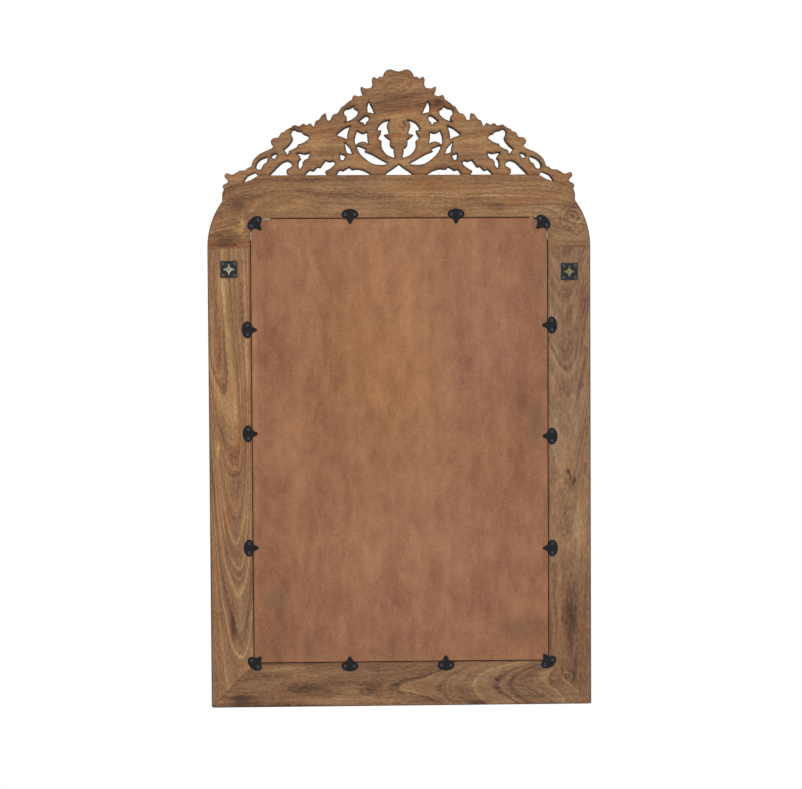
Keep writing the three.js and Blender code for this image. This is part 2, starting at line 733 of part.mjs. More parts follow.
function makeHangerPlate() {
  const half = hangerPlateSize / 2;
  const outline = new THREE.Shape([
    new THREE.Vector2(-half, -half),
    new THREE.Vector2(half, -half),
    new THREE.Vector2(half, half),
    new THREE.Vector2(-half, half),
  ]);
  const star = [0, 1, 2, 3].flatMap((quarter) =>
    starArmShares.map(([alongShare, acrossShare]) =>
      new THREE.Vector2(alongShare * hangerStarReach, acrossShare * hangerStarReach)
        .rotateAround(new THREE.Vector2(), (quarter * Math.PI) / 2)),
  );
  outline.holes.push(new THREE.Path(star));
  const plateBack = hangerFace - hangerPlateThickness;
  const through = hangerFace + cutOverrun;
  let plate = slab(outline, hangerFace, plateBack);
  const sinkRadius = hangerScrewHeadRadius + holeClearance;
  const shankHole = screwShankRadius + holeClearance;
  for (const { x, z } of hangerScrewPlaces({ x: 0, z: 0 })) {
    const sink = new THREE.CylinderGeometry(sinkRadius, shankHole, hangerPlateThickness, holeSides);
    sink.translate(x, hangerFace - hangerPlateThickness / 2, z);
    plate = plate.subtract(toSolid(sink));
    plate = plate.subtract(drill(x, z, shankHole, through, plateBack - cutOverrun, holeSides));
  }
  return toGeometry(plate);
}

const mirror = new THREE.Group();

function addPiece(parent, name, geometry, material) {
  const mesh = new THREE.Mesh(geometry, material);
  mesh.name = name;
  parent.add(mesh);
  return mesh;
}

const ring = frameRing();
addPiece(mirror, 'crest', toGeometry(makeCrest()), finishes.crestWood);
addPiece(mirror, 'top_rail', toGeometry(makeTopRail(ring)), finishes.frameWood);
addPiece(mirror, 'left_stile', toGeometry(makeStile(ring, -1)), finishes.frameWood);
addPiece(mirror, 'right_stile', toGeometry(makeStile(ring, 1)), finishes.frameWood);
addPiece(mirror, 'bottom_rail', toGeometry(makeBottomRail(ring)), finishes.frameWood);

const glass = slab(windowOutline(rebateLap - glassClearance), glassBack, glassBack - glassThickness);
addPiece(mirror, 'mirror_glass', toGeometry(glass), finishes.mirrorGlass);
const board = slab(windowOutline(rebateLap - boardClearance), boardBack, boardBack - boardThickness);
addPiece(mirror, 'backing_board', toGeometry(board), finishes.backingBoard);

const clipGeometry = makeClip();
const clipScrewGeometry = makeClipScrew();
for (const place of clipPlaces()) {
  const holder = new THREE.Group();
  holder.position.set(place.x, 0, place.z);
  holder.rotation.y = turnOf(place);
  addPiece(holder, place.name, clipGeometry, finishes.blackSteel);
  for (const [side, letter] of [[-1, 'a'], [1, 'b']]) {
    const name = `${place.name}_screw_${letter}`;
    const screw = addPiece(holder, name, clipScrewGeometry, finishes.screwSteel);
    screw.position.set((side * clipScrewSpacing) / 2, clipScrewSeat, 0);
  }
  mirror.add(holder);
}

const plateGeometry = makeHangerPlate();
const hangerScrewGeometry = makeHangerScrew();
for (const place of hangerPlaces) {
  const plate = addPiece(mirror, `hanger_plate_${place.name}`, plateGeometry, finishes.blackSteel);
  plate.position.set(place.x, 0, place.z);
  for (const [index, { x, z }] of hangerScrewPlaces(place).entries()) {
    const name = `hanger_${place.name}_screw_${index + 1}`;
    const screw = addPiece(mirror, name, hangerScrewGeometry, finishes.screwSteel);
    screw.position.set(x, hangerFace, z);
  }
}

export default mirror;
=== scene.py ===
import math

import bmesh
import bpy
import numpy as np
from mathutils import Matrix, Vector, kdtree
from mathutils.geometry import delaunay_2d_cdt


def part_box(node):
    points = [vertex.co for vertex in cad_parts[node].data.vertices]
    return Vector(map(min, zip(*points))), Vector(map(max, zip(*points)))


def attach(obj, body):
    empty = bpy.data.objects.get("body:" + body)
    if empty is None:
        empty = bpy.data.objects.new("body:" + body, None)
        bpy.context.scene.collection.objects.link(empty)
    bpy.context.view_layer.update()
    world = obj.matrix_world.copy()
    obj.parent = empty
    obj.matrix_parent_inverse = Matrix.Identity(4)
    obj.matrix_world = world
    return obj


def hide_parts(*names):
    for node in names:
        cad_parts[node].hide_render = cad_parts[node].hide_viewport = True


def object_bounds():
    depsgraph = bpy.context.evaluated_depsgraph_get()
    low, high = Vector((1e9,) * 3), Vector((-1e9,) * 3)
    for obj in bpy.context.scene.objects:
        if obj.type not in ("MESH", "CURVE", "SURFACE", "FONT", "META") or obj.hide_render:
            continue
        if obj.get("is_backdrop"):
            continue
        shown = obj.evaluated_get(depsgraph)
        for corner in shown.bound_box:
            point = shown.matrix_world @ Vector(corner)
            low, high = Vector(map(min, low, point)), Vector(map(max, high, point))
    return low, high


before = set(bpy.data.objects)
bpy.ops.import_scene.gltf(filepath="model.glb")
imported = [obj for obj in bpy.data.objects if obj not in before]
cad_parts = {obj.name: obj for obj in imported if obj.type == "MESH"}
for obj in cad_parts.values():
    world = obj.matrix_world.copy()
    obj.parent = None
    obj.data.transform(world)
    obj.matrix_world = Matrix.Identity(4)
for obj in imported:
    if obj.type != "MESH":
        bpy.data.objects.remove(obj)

mm = 0.001
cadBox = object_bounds()
print("frame loaded:", len(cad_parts), "nodes")

# Camera, where the photograph was taken from: behind the mirror, a little to one side
photoCamera = {
    "place": (0.0926, 4.0153, 0.8816),
    "lens": 75.0,
    "turn": -1.355,
    "dip": -1.886,
    "lean": -0.341,
}


def addObject(name, data, place=None):
    thing = bpy.data.objects.new(name, data)
    if place is not None:
        thing.matrix_world = place
    bpy.context.scene.collection.objects.link(thing)
    return thing


def placeCamera(look):
    turn, dip, lean = (math.radians(look[k]) for k in ("turn", "dip", "lean"))
    ahead = Vector((math.sin(turn) * math.cos(dip), -math.cos(turn) * math.cos(dip), math.sin(dip)))
    right = ahead.cross(Vector((0, 0, 1))).normalized()
    up = right.cross(ahead)
    side = math.cos(lean) * right + math.sin(lean) * up
    top = -math.sin(lean) * right + math.cos(lean) * up
    data = bpy.data.cameras.new("photo_camera")
    data.lens = look["lens"]
    data.sensor_width = 36.0
    data.sensor_fit = "HORIZONTAL"
    data.clip_start, data.clip_end = 0.05, 60.0
    turned = Matrix((side, top, -ahead)).transposed().to_4x4()
    camera = addObject("photo_camera", data, Matrix.Translation(look["place"]) @ turned)
    bpy.context.scene.camera = camera


placeCamera(photoCamera)


# Node helpers: sockets and numbers go in, a node or its socket comes out
def addNode(tree, kind, inputs=None, **settings):
    node = tree.nodes.new("ShaderNode" + kind)
    for key, value in settings.items():
        setattr(node, key, value)
    for key, value in (inputs or {}).items():
        if isinstance(value, bpy.types.NodeSocket):
            tree.links.new(value, node.inputs[key])
        else:
            node.inputs[key].default_value = value
    return node


def figure(tree, kind, a, b=0.0, c=0.0, clamp=False):
    return addNode(tree, "Math", {0: a, 1: b, 2: c}, operation=kind, use_clamp=clamp).outputs[0]


def times(tree, a, b, clamp=False):
    return figure(tree, "MULTIPLY", a, b, clamp=clamp)


def total(tree, *parts):
    result = parts[0]
    for part in parts[1:]:
        result = figure(tree, "ADD", result, part)
    return result


def sway(tree, value, amount):  # a noise's swing about its middle, scaled
    return figure(tree, "MULTIPLY_ADD", value, amount, -0.5 * amount)


def allSways(tree, noise, amounts):
    return [sway(tree, noise[key], amount) for key, amount in amounts.items()]


def relief(tree, noise, amounts):
    return total(tree, *[times(tree, noise[key], amount) for key, amount in amounts.items()])


def combine(tree, x, y, z):
    return addNode(tree, "CombineXYZ", {0: x, 1: y, 2: z}).outputs[0]


def axes(tree):  # the piece's own coordinates, in metres: together, then x, y and z
    where = addNode(tree, "TexCoord").outputs["Object"]
    return (where, *addNode(tree, "SeparateXYZ", {0: where}).outputs)


def painted(tree, name):  # a value that the mesh holds at each point
    return addNode(tree, "Attribute", attribute_name=name).outputs["Fac"]


# A noise stretched along each axis, then moved
def mottle(tree, where, stretch, shift=(0, 0, 0), detail=3.0, rough=0.55, warp=0.0):
    spread = addNode(tree, "VectorMath", {0: where, 1: stretch, 2: shift}, operation="MULTIPLY_ADD")
    inputs = {"Vector": spread.outputs[0], "Scale": 1.0, "Detail": detail, "Roughness": rough}
    return addNode(tree, "TexNoise", {**inputs, "Distortion": warp}).outputs["Fac"]


def remap(tree, value, low, high, outLow=0.0, outHigh=1.0, curve="SMOOTHSTEP"):
    ends = {"From Min": low, "From Max": high, "To Min": outLow, "To Max": outHigh}
    return addNode(tree, "MapRange", {"Value": value, **ends}, interpolation_type=curve).outputs["Result"]


def ramp(tree, value, stops):
    node = addNode(tree, "ValToRGB", {"Fac": value})
    elements = node.color_ramp.elements
    while len(elements) < len(stops):
        elements.new(0.5)
    for element, (at, color) in zip(elements, stops):
        element.position = at
        element.color = (*color, 1)
    return node.outputs["Color"]


def blend(tree, kind, amount, under, over):
    under, over = [(*c, 1) if isinstance(c, tuple) else c for c in (under, over)]
    inputs = {"Factor": amount, 6: under, 7: over}
    return addNode(tree, "Mix", inputs, data_type="RGBA", blend_type=kind).outputs[2]


def newMaterial(name):
    material = bpy.data.materials.new(name)
    material.use_nodes = True
    return material, material.node_tree


# Links a material's colour, roughness and height to its shader, which comes back for its even settings
def dress(tree, color, roughness, height=None, strength=0.30, reach=0.0004):
    shader = tree.nodes["Principled BSDF"]
    tree.links.new(color, shader.inputs["Base Color"])
    tree.links.new(roughness, shader.inputs["Roughness"])
    if height is not None:
        bump = addNode(tree, "Bump", {"Strength": strength, "Distance": reach, "Height": height})
        tree.links.new(bump.outputs["Normal"], shader.inputs["Normal"])
    return shader


# Soft marks. Each is x, z, half width, half height and amount, and may have a lean
def farFrom(tree, x, z, mark):  # 0 in the mark's middle, 1 at its edge
    middleX, middleZ, wide, tall, _, lean = (*mark, 0.0)[:6]
    dz = figure(tree, "SUBTRACT", z, middleZ)
    dx = figure(tree, "SUBTRACT", figure(tree, "SUBTRACT", x, middleX), times(tree, dz, lean))
    dx, dz = figure(tree, "DIVIDE", dx, wide), figure(tree, "DIVIDE", dz, tall)
    return figure(tree, "SQRT", total(tree, times(tree, dx, dx), times(tree, dz, dz)))


def spot(tree, x, z, mark):
    return remap(tree, farFrom(tree, x, z, mark), 1.0, 0.0)


def allSpots(tree, x, z, marks):
    return total(tree, *[times(tree, spot(tree, x, z, mark), mark[4]) for mark in marks])


# Pale studio. The camera sees plain white; the mirror and the wood see a sky that is softer in front
studio = {
    "skyBehind": 0.98,
    "skyFront": 0.42,
    "skyLevel": 0.92,
    "skyHigh": 1.12,
    "skyGround": 0.34,
    "floorHeight": -0.55,
    "floorReach": 1.1,
    "floorColor": (0.90, 0.90, 0.90),
    "floorGlow": 0.22,
    "lamps": [  # name, place, aim, size, watts
        ("key_behind", (1.6, 3.0, 3.3), (0.0, 0.0, 0.85), 1.6, 34.0),
        ("fill_behind", (-2.6, 3.4, 1.2), (0.0, 0.0, 0.7), 2.2, 8.0),
        ("key_front", (-2.4, -1.5, 2.8), (0.0, 0.0, 0.85), 0.5, 105.0),
        ("side_front", (2.6, -2.2, 1.0), (0.0, 0.0, 0.8), 1.2, 14.0),
    ],
}


def buildSky(look):
    world = bpy.data.worlds.new("studio")
    bpy.context.scene.world = world
    world.use_nodes = True
    tree = world.node_tree
    white = tree.nodes["Background"]
    white.inputs["Color"].default_value = (1, 1, 1, 1)
    white.inputs["Strength"].default_value = 1.0
    way = addNode(tree, "TexCoord").outputs["Generated"]
    _, back, up = addNode(tree, "SeparateXYZ", {0: way}).outputs
    side = remap(tree, back, -0.5, 0.5, look["skyFront"], look["skyBehind"])
    high = remap(tree, up, -0.05, 0.9, look["skyLevel"], look["skyHigh"])
    low = remap(tree, up, 0.16, -0.08, 0.0, look["skyGround"])
    sky = addNode(tree, "Background", {"Strength": total(tree, times(tree, side, high), low)})
    seen = addNode(tree, "LightPath").outputs["Is Camera Ray"]
    pick = addNode(tree, "MixShader", {0: seen, 1: sky.outputs[0], 2: white.outputs[0]})
    tree.links.new(pick.outputs[0], tree.nodes["World Output"].inputs["Surface"])


def buildFloor(look, sides=96):
    mesh = bpy.data.meshes.new("floor")
    turns = np.linspace(0, 2 * math.pi, sides, endpoint=False)
    rim = [(look["floorReach"] * math.cos(t), look["floorReach"] * math.sin(t), 0) for t in turns]
    mesh.from_pydata(rim, [], [tuple(range(sides))])
    floor = addObject("floor", mesh, Matrix.Translation((0, 0, look["floorHeight"])))
    paint, tree = newMaterial("floor_paint")
    shader = tree.nodes["Principled BSDF"]
    shader.inputs["Base Color"].default_value = (*look["floorColor"], 1)
    shader.inputs["Roughness"].default_value = 0.9
    shader.inputs["Emission Color"].default_value = (1, 1, 1, 1)
    shader.inputs["Emission Strength"].default_value = look["floorGlow"]
    mesh.materials.append(paint)
    floor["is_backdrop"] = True


def hangLamps(look):
    for name, place, aim, size, watts in look["lamps"]:
        lamp = bpy.data.lights.new(name, "AREA")
        lamp.shape = "SQUARE"
        lamp.size = size
        lamp.energy = watts
        aimed = (Vector(aim) - Vector(place)).to_track_quat("-Z", "Y").to_matrix().to_4x4()
        addObject(name, lamp, Matrix.Translation(place) @ aimed)
    bpy.context.scene.view_settings.view_transform = "Standard"


buildSky(studio)
buildFloor(studio)
hangLamps(studio)
print("camera and studio ready")

# Mango wood: tones from dark to light, then colours that patches of it lean towards
mangoTones = [
    (0.00, (0.084, 0.044, 0.026)),
    (0.25, (0.186, 0.091, 0.048)),
    (0.50, (0.288, 0.153, 0.072)),
    (0.75, (0.398, 0.230, 0.103)),
    (1.00, (0.545, 0.350, 0.165)),
]
mangoHues = {  # rust and ash lie on patches, cool on marks and the last one on worn edges and in painted shade
    "rust": (1.05, 0.86, 0.74),
    "ash": (0.91, 0.955, 1.10),
    "cool": (0.93, 1.02, 1.16),
    "rubbed": (0.034, 0.022, 0.018),
}

# Noises that the boards share: stretch along, across and through the board, key, detail, roughness
mangoGrain = {
    "wander": ((14, 60, 9), 0, 3, 0.55),
    "streaks": ((5, 90, 60), 1, 4, 0.62),
    "flecks": ((95, 300, 200), 2, 3, 0.65),
    "fibres": ((40, 950, 500), 3, 3, 0.60),
    "cloud": ((9, 22, 12), 4, 3, 0.55),
    "rust": ((3, 24, 10), 5, 3, 0.60),
    "ash": ((4, 16, 10), 6, 3, 0.60),
    "wobble": ((30, 30, 9), 7, 2, 0.60),
    "ragged": ((26, 70, 9), 8, 4, 0.70),
    "frayed": ((34, 60, 9), 9, 4, 0.70),
}
mangoMix = {  # how much of each noise goes into the tone, the roughness and the relief
    "tone": {"fibres": 0.30, "cloud": 0.55},
    "gloss": {"streaks": 0.20, "flecks": 0.16},
    "relief": {"fibres": 0.6, "flecks": 0.5, "streaks": 0.3},
    "ragged": 0.060, "frayed": 0.024, "wobble": 1.5,  # how far marks fray along and across, and eyes waver
    "rough": 0.52, "rubbed": 0.90, "rubbedRough": 0.12, "gleam": 0.10,
}
boardBack = 0.019  # in metres; the rings are drawn there
ringSlope = 12.0  # ring numbers that a metre of depth adds, as the rings run on through a board

# Each board's figure. "rings" are growth rings drawn on its back, in millimetres, each with its
# number; "stretch" says how much further a ring carries along x and z; "bands" are the rings' tones, by
# number; stains, in metres, are x, z, half width, half height, amount, lean.
boardFigures = {
    "rightStile": {  # on the photograph's left
        "grain": "Z", "stretch": (1.0, 3.2), "fineness": 9.0, "wander": 0.30, "shift": 3.1,
        "level": 0.485, "lines": 0.50, "streaks": 0.30, "flecks": 0.85, "contrast": 0.72,
        "rust": 0.75, "ash": 0.45, "tint": (1.0, 1.0, 1.0),
        "cool": [(0.405, 0.22, 0.08, 0.30, 0.6)],
        "bands": [
            (0, 0.45), (0.5, 0.55), (1, 0.34), (1.35, 0.62), (2, 0.12), (2.05, 0.64), (2.4, 0.78),
            (2.75, 0.66), (3, 0.44), (3.15, 0.58), (3.35, 0.42), (3.6, 0.5), (3.85, 0.3), (4.1, 0.22),
            (4.4, 0.4), (4.6, 0.74), (4.75, 0.48), (4.93, 0.4), (5, 0.22), (5.12, 0.5), (5.3, 0.42),
            (5.5, 0.55), (6, 0.24), (6.15, 0.48), (6.5, 0.42), (6.85, 0.55), (7, 1), (7.13, 0.5),
            (7.5, 0.4), (7.85, 0.5), (8, 0.82), (8.12, 0.45), (8.3, 0.28), (8.5, 0.66), (8.66, 0.26),
            (8.85, 0.6), (9, 1), (9.14, 0.5), (9.5, 0.46), (10, 0.16), (10.2, 0.36), (10.86, 0.52),
            (11, 1), (11.12, 0.46), (11.35, 0.34), (11.9, 0.6), (12, 0.86), (12.1, 0.46), (12.6, 0.5),
            (13, 0.42),
        ],
        "rings": [
            (0, [(444, 1045), (438, 900), (432, 1045)]),
            (1, [(452, 1045), (445, 890), (434, 805), (426, 890), (431, 1065)]),
            (2, [(455, 850), (448, 810), (422, 755), (412, 790), (417, 865), (428, 1045)]),
            (2.5, [(444, 755), (413, 710), (401, 730), (401, 765)]),
            (3, [(454, 805), (444, 760), (420, 685), (399, 665), (388, 720), (410, 975), (414, 1050)]),
            (4, [(452, 770), (435, 685), (414, 625), (397, 610), (386, 630), (383, 675), (388, 795),
                 (403, 975), (406, 1055)]),
            (4.6, [(451, 755), (433, 655), (414, 590), (395, 575), (384, 590), (380, 700), (394, 900),
                   (401, 1060)]),
            (5, [(450, 735), (426, 610), (407, 560), (385, 565), (379, 600), (377, 735), (384, 840),
                 (395, 950), (396, 1065)]),
            (6, [(449, 705), (423, 530), (396, 445), (377, 505), (371, 640), (373, 880), (382, 1065)]),
            (7, [(448, 680), (433, 555), (413, 435), (395, 395), (379, 440), (372, 495), (365, 660),
                 (366, 900), (373, 1080)]),
            (8, [(447, 640), (433, 495), (420, 405), (401, 345), (381, 345), (368, 445), (361, 660),
                 (361, 1045)]),
            (9, [(448, 590), (430, 400), (416, 325), (397, 275), (388, 270), (370, 320), (359, 445),
                 (356, 590)]),
            (10, [(447, 520), (434, 355), (419, 265), (400, 185), (388, 160), (378, 165), (363, 255),
                  (358, 350)]),
            (11, [(447, 460), (433, 295), (419, 205), (403, 140), (381, 120), (365, 170), (359, 230)]),
            (12, [(448, 350), (436, 195), (420, 60), (411, 25), (394, 10)]),
            (13, [(453, 300), (452, 205), (440, 15)]),
        ],
        "stains": [
            (0.410, 0.878, 0.013, 0.24, 0.20, 0.10), (0.434, 0.90, 0.010, 0.20, -0.16, 0.08),
            (0.367, 0.95, 0.010, 0.20, 0.30, 0.0), (0.4355, 0.631, 0.005, 0.04, 0.50, 0.0),
            (0.391, 0.5325, 0.005, 0.005, -0.5), (0.403, 0.194, 0.009, 0.06, -0.26, 0.08),
            (0.452, 0.45, 0.012, 0.35, -0.14), (0.405, 0.24, 0.08, 0.26, -0.09),
        ],
        "eyes": [],
    },
    "leftStile": {  # on the photograph's right
        "grain": "Z", "stretch": (1.0, 2.2), "fineness": 9.0, "wander": 0.55, "shift": 9.7,
        "level": 0.445, "lines": 0.52, "streaks": 0.30, "flecks": 0.88, "contrast": 0.62,
        "rust": 0.35, "ash": 0.85, "tint": (0.965, 1.005, 1.11),
        "cool": [(-0.41, 0.88, 0.12, 0.34, 0.6)],
        "bands": [
            (0, 0.32), (0.15, 0.6), (0.85, 0.45), (1, 0.28), (1.15, 0.62), (1.5, 0.52), (1.8, 0.32),
            (2.25, 0.62), (2.85, 0.32), (3.25, 0.6), (4, 0.4), (4.2, 0.6), (4.6, 0.5), (4.9, 0.3),
            (5.05, 0.74), (5.3, 0.5), (5.8, 0.4), (6.4, 0.62), (7, 0.5), (7.4, 0.58), (8.3, 0.42),
            (8.5, 0.58), (8.8, 0.36), (8.95, 0.56), (9.08, 0.36), (9.2, 0.66), (9.33, 0.34), (9.46, 0.64),
            (9.58, 0.34), (9.7, 0.6), (9.85, 0.42), (10, 0.76), (10.15, 0.45), (11, 0.55), (11.4, 0.42),
            (12, 0.6),
        ],
        "rings": [
            (0, [(-358, 1100), (-367, 1080), (-389, 1070), (-418, 1100)]),
            (1, [(-358, 1065), (-379, 1020), (-405, 1020), (-420, 1045), (-430, 1080)]),
            (2, [(-357, 1025), (-369, 1000), (-393, 970), (-422, 1010), (-433, 1065)]),
            (3, [(-360, 975), (-384, 925), (-396, 915), (-410, 930), (-423, 965), (-434, 1035)]),
            (4, [(-360, 915), (-383, 865), (-398, 855), (-412, 870), (-426, 910), (-436, 975)]),
            (5, [(-359, 865), (-383, 815), (-398, 800), (-412, 810), (-426, 855), (-436, 915)]),
            (6, [(-359, 805), (-383, 755), (-398, 740), (-414, 750), (-427, 795), (-438, 855)]),
            (7, [(-359, 745), (-388, 685), (-405, 670), (-419, 690), (-440, 795)]),
            (8, [(-359, 675), (-385, 610), (-402, 595), (-419, 620), (-442, 735)]),
            (9, [(-358, 615), (-360, 495), (-379, 450), (-397, 450), (-413, 480), (-424, 560), (-446, 685)]),
            (9.15, [(-384, 528), (-403, 503), (-383, 475), (-365, 503), (-384, 528)]),
            (9.4, [(-384, 517), (-394, 502), (-383, 486), (-373, 503), (-384, 517)]),
            (9.7, [(-383, 509), (-388, 502), (-383, 495), (-379, 502), (-383, 509)]),
            (10, [(-357, 450), (-378, 405), (-394, 380), (-407, 385), (-419, 420), (-438, 565),
                  (-450, 640)]),
            (11, [(-358, 385), (-374, 280), (-386, 140), (-394, 70), (-406, 40), (-418, 70), (-425, 160),
                  (-455, 565)]),
            (12, [(-357, 315), (-373, 120), (-386, 15)]),
        ],
        "stains": [
            (-0.4416, 0.974, 0.016, 0.09, -0.24), (-0.436, 0.79, 0.010, 0.09, -0.30, -0.18),
            (-0.402, 0.554, 0.011, 0.013, -0.50), (-0.416, 0.537, 0.010, 0.011, -0.36),
            (-0.4416, 0.568, 0.010, 0.022, -0.34), (-0.400, 0.470, 0.017, 0.012, -0.26),
            (-0.380, 0.24, 0.011, 0.20, 0.24), (-0.408, 0.216, 0.024, 0.11, -0.27),
            (-0.412, 0.075, 0.014, 0.05, -0.24), (-0.36, 0.16, 0.006, 0.13, -0.20),
            (-0.43, 0.40, 0.02, 0.20, 0.12), (-0.41, 0.14, 0.11, 0.36, -0.20),
            (-0.375, 0.75, 0.016, 0.22, 0.12), (-0.385, 0.60, 0.05, 0.20, 0.12),
            (-0.41, 0.90, 0.06, 0.16, -0.08),
        ],
        "eyes": [(-0.400, 0.066, 0.024, 0.024, 0.18, 2.0)],
    },
    "topRail": {
        "grain": "X", "stretch": (4.0, 1.0), "fineness": 3.5, "wander": 0.85, "shift": 5.3,
        "level": 0.445, "lines": 0.60, "streaks": 0.60, "flecks": 0.90, "contrast": 0.66,
        "rust": 0.70, "ash": 0.60, "tint": (1.0, 1.0, 0.97),
        "cool": [(-0.42, 1.16, 0.14, 0.16, 1.0)],
        "bands": [
            (0, 0.38), (0.4, 0.56), (0.7, 0.42), (1, 0.55), (1.25, 0.42), (1.6, 0.6), (1.85, 0.45),
            (2, 0.75), (2.12, 0.4), (2.4, 0.34), (2.7, 0.5), (2.92, 0.42), (3, 0.74), (3.12, 0.45),
            (3.4, 0.55), (3.6, 0.4), (3.9, 0.5), (4, 0.74), (4.12, 0.46), (4.5, 0.56), (5, 0.45),
            (5.3, 0.58), (5.7, 0.4), (6, 0.5),
        ],
        "rings": [
            (0, [(400, 1238), (360, 1252), (240, 1262), (-240, 1262), (-385, 1252), (-415, 1238)]),
            (1, [(420, 1211), (385, 1231), (330, 1243), (240, 1249), (120, 1245), (-120, 1243),
                 (-240, 1245), (-360, 1238), (-425, 1221)]),
            (2, [(430, 1190), (400, 1202), (385, 1219), (275, 1239), (70, 1228), (-145, 1223),
                 (-240, 1226), (-350, 1221), (-425, 1204)]),
            (3, [(445, 1161), (405, 1175), (355, 1187), (340, 1205), (265, 1231), (190, 1221), (95, 1211),
                 (0, 1214), (-95, 1207), (-290, 1209), (-385, 1209), (-425, 1192), (-440, 1171)]),
            (4, [(450, 1137), (410, 1147), (380, 1156)]),
            (4, [(325, 1185), (315, 1199), (275, 1221), (240, 1211), (145, 1199), (25, 1199),
                 (-70, 1192), (-170, 1195), (-350, 1195), (-385, 1187)]),
            (5, [(455, 1118), (415, 1125), (370, 1132)]),
            (5, [(300, 1180), (240, 1187), (120, 1183), (-240, 1180), (-325, 1185), (-380, 1147),
                 (-410, 1137), (-440, 1147)]),
            (6, [(460, 1101), (370, 1108)]),
            (6, [(-360, 1135), (-385, 1120), (-420, 1118), (-450, 1127)]),
        ],
        "stains": [
            (0.385, 1.2065, 0.045, 0.034, -0.15), (0.21, 1.258, 0.060, 0.010, -0.22),
            (0.375, 1.151, 0.014, 0.030, 0.62), (0.418, 1.123, 0.060, 0.030, -0.30),
            (0.410, 1.108, 0.060, 0.012, -0.14), (0.17, 1.243, 0.13, 0.006, 0.24),
            (0.235, 1.2065, 0.03, 0.02, 0.12), (-0.233, 1.199, 0.028, 0.016, -0.20),
            (-0.20, 1.221, 0.14, 0.005, 0.22), (0.05, 1.19, 0.20, 0.012, 0.14),
            (-0.31, 1.262, 0.08, 0.012, -0.12), (0.36, 1.23, 0.16, 0.05, -0.14),
            (-0.39, 1.20, 0.05, 0.03, 0.06),
        ],
        "eyes": [(-0.415, 1.170, 0.044, 0.052, 0.14, 2.6)],
    },
    "bottomRail": {
        "grain": "X", "stretch": (2.0, 1.0), "fineness": 7.0, "wander": 0.40, "shift": 12.4,
        "level": 0.335, "lines": 0.45, "streaks": 0.55, "flecks": 0.85, "contrast": 0.58,
        "rust": 0.45, "ash": 0.80, "tint": (0.97, 1.0, 1.02),
        "cool": [(-0.30, 0.05, 0.30, 0.12, 0.5)],
        "bands": [
            (-3, 0.45), (-2.6, 0.56), (-2.2, 0.42), (-1.6, 0.58), (-1.3, 0.45), (-1, 0.54), (-0.7, 0.42),
            (-0.4, 0.56), (-0.15, 0.46), (0, 0.12), (0.2, 0.62), (0.8, 0.58), (1, 0.3), (1.06, 0.6),
            (1.14, 0.36), (1.22, 0.6), (1.93, 0.44), (2, 0.08), (2.09, 0.48), (2.86, 0.52), (3, 0.96),
            (3.12, 0.76), (3.85, 0.64), (3.97, 0.16), (4.06, 0.22), (4.2, 0.5), (4.6, 0.5), (4.9, 0.26),
            (5.1, 0.3), (5.4, 0.6), (5.85, 0.56), (5.96, 0.18), (6.04, 0.8), (6.12, 0.22), (6.25, 0.54),
            (6.7, 0.5), (6.86, 0.84), (6.95, 0.8), (7.01, 0.14), (7.1, 0.48), (8, 0.5),
        ],
        "rings": [
            (-3, [(425, 82), (340, 91), (245, 100)]),
            (-2, [(435, 53), (220, 82), (40, 100)]),
            (-2, [(340, 19), (220, 10)]),
            (-1, [(245, 43), (175, 58), (75, 70), (-20, 86), (-75, 101)]),
            (-1, [(175, 32), (75, 22), (-20, 10)]),
            (0, [(25, 46), (-5, 60), (-50, 70), (-95, 86), (-120, 101)]),
            (0, [(15, 38), (0, 32), (-25, 28), (-95, 7)]),
            (1, [(-94, 44), (-110, 66), (-128, 77), (-177, 101)]),
            (1, [(-97, 34), (-106, 22), (-121, 7)]),
            (2, [(-143, 46), (-155, 65), (-184, 83), (-237, 101)]),
            (2, [(-145, 35), (-152, 23), (-164, 7)]),
            (3, [(-172, 47), (-184, 70), (-220, 88), (-271, 101)]),
            (3, [(-176, 34), (-186, 20), (-198, 7)]),
            (4, [(-228, 47), (-239, 67), (-276, 88), (-324, 102)]),
            (4, [(-234, 37), (-246, 25), (-275, 7)]),
            (5, [(-263, 48), (-268, 62), (-297, 84), (-346, 101)]),
            (5, [(-268, 36), (-280, 23), (-297, 10)]),
            (6, [(-291, 54), (-295, 66), (-321, 85), (-363, 101)]),
            (6, [(-296, 42), (-309, 30), (-350, 7)]),
            (7, [(-354, 61), (-360, 74), (-387, 98)]),
            (7, [(-360, 49), (-384, 26), (-394, 10)]),
            (8, [(-384, 62), (-391, 74), (-404, 86)]),
            (8, [(-391, 50), (-406, 38), (-425, 19)]),
        ],
        "stains": [
            (0.385, 0.017, 0.062, 0.023, -0.42), (0.232, 0.044, 0.072, 0.018, -0.34, 1.2),
            (0.074, 0.042, 0.042, 0.026, -0.36), (0.010, 0.050, 0.018, 0.008, -0.36),
            (-0.19, 0.006, 0.04, 0.010, -0.50), (0.31, 0.096, 0.11, 0.014, 0.20),
            (0.12, 0.016, 0.20, 0.012, 0.14), (0.30, 0.002, 0.16, 0.006, -0.40),
            (-0.232, 0.042, 0.010, 0.006, -0.55), (-0.232, 0.062, 0.006, 0.005, -0.45),
            (0.28, 0.05, 0.20, 0.06, -0.06), (-0.30, 0.055, 0.14, 0.06, -0.09),
        ],
        "eyes": [(-0.400, 0.066, 0.024, 0.024, 0.18, 2.0)],
    },
    "crest": {
        "grain": "X", "stretch": (2.0, 1.0), "fineness": 5.0, "wander": 0.60, "shift": 21.8,
        "level": 0.455, "lines": 0.62, "streaks": 0.36, "flecks": 0.85, "contrast": 1.0,
        "rust": 0.85, "ash": 0.50, "tint": (1.0, 0.985, 0.96),
        "cool": [],
        "bands": [
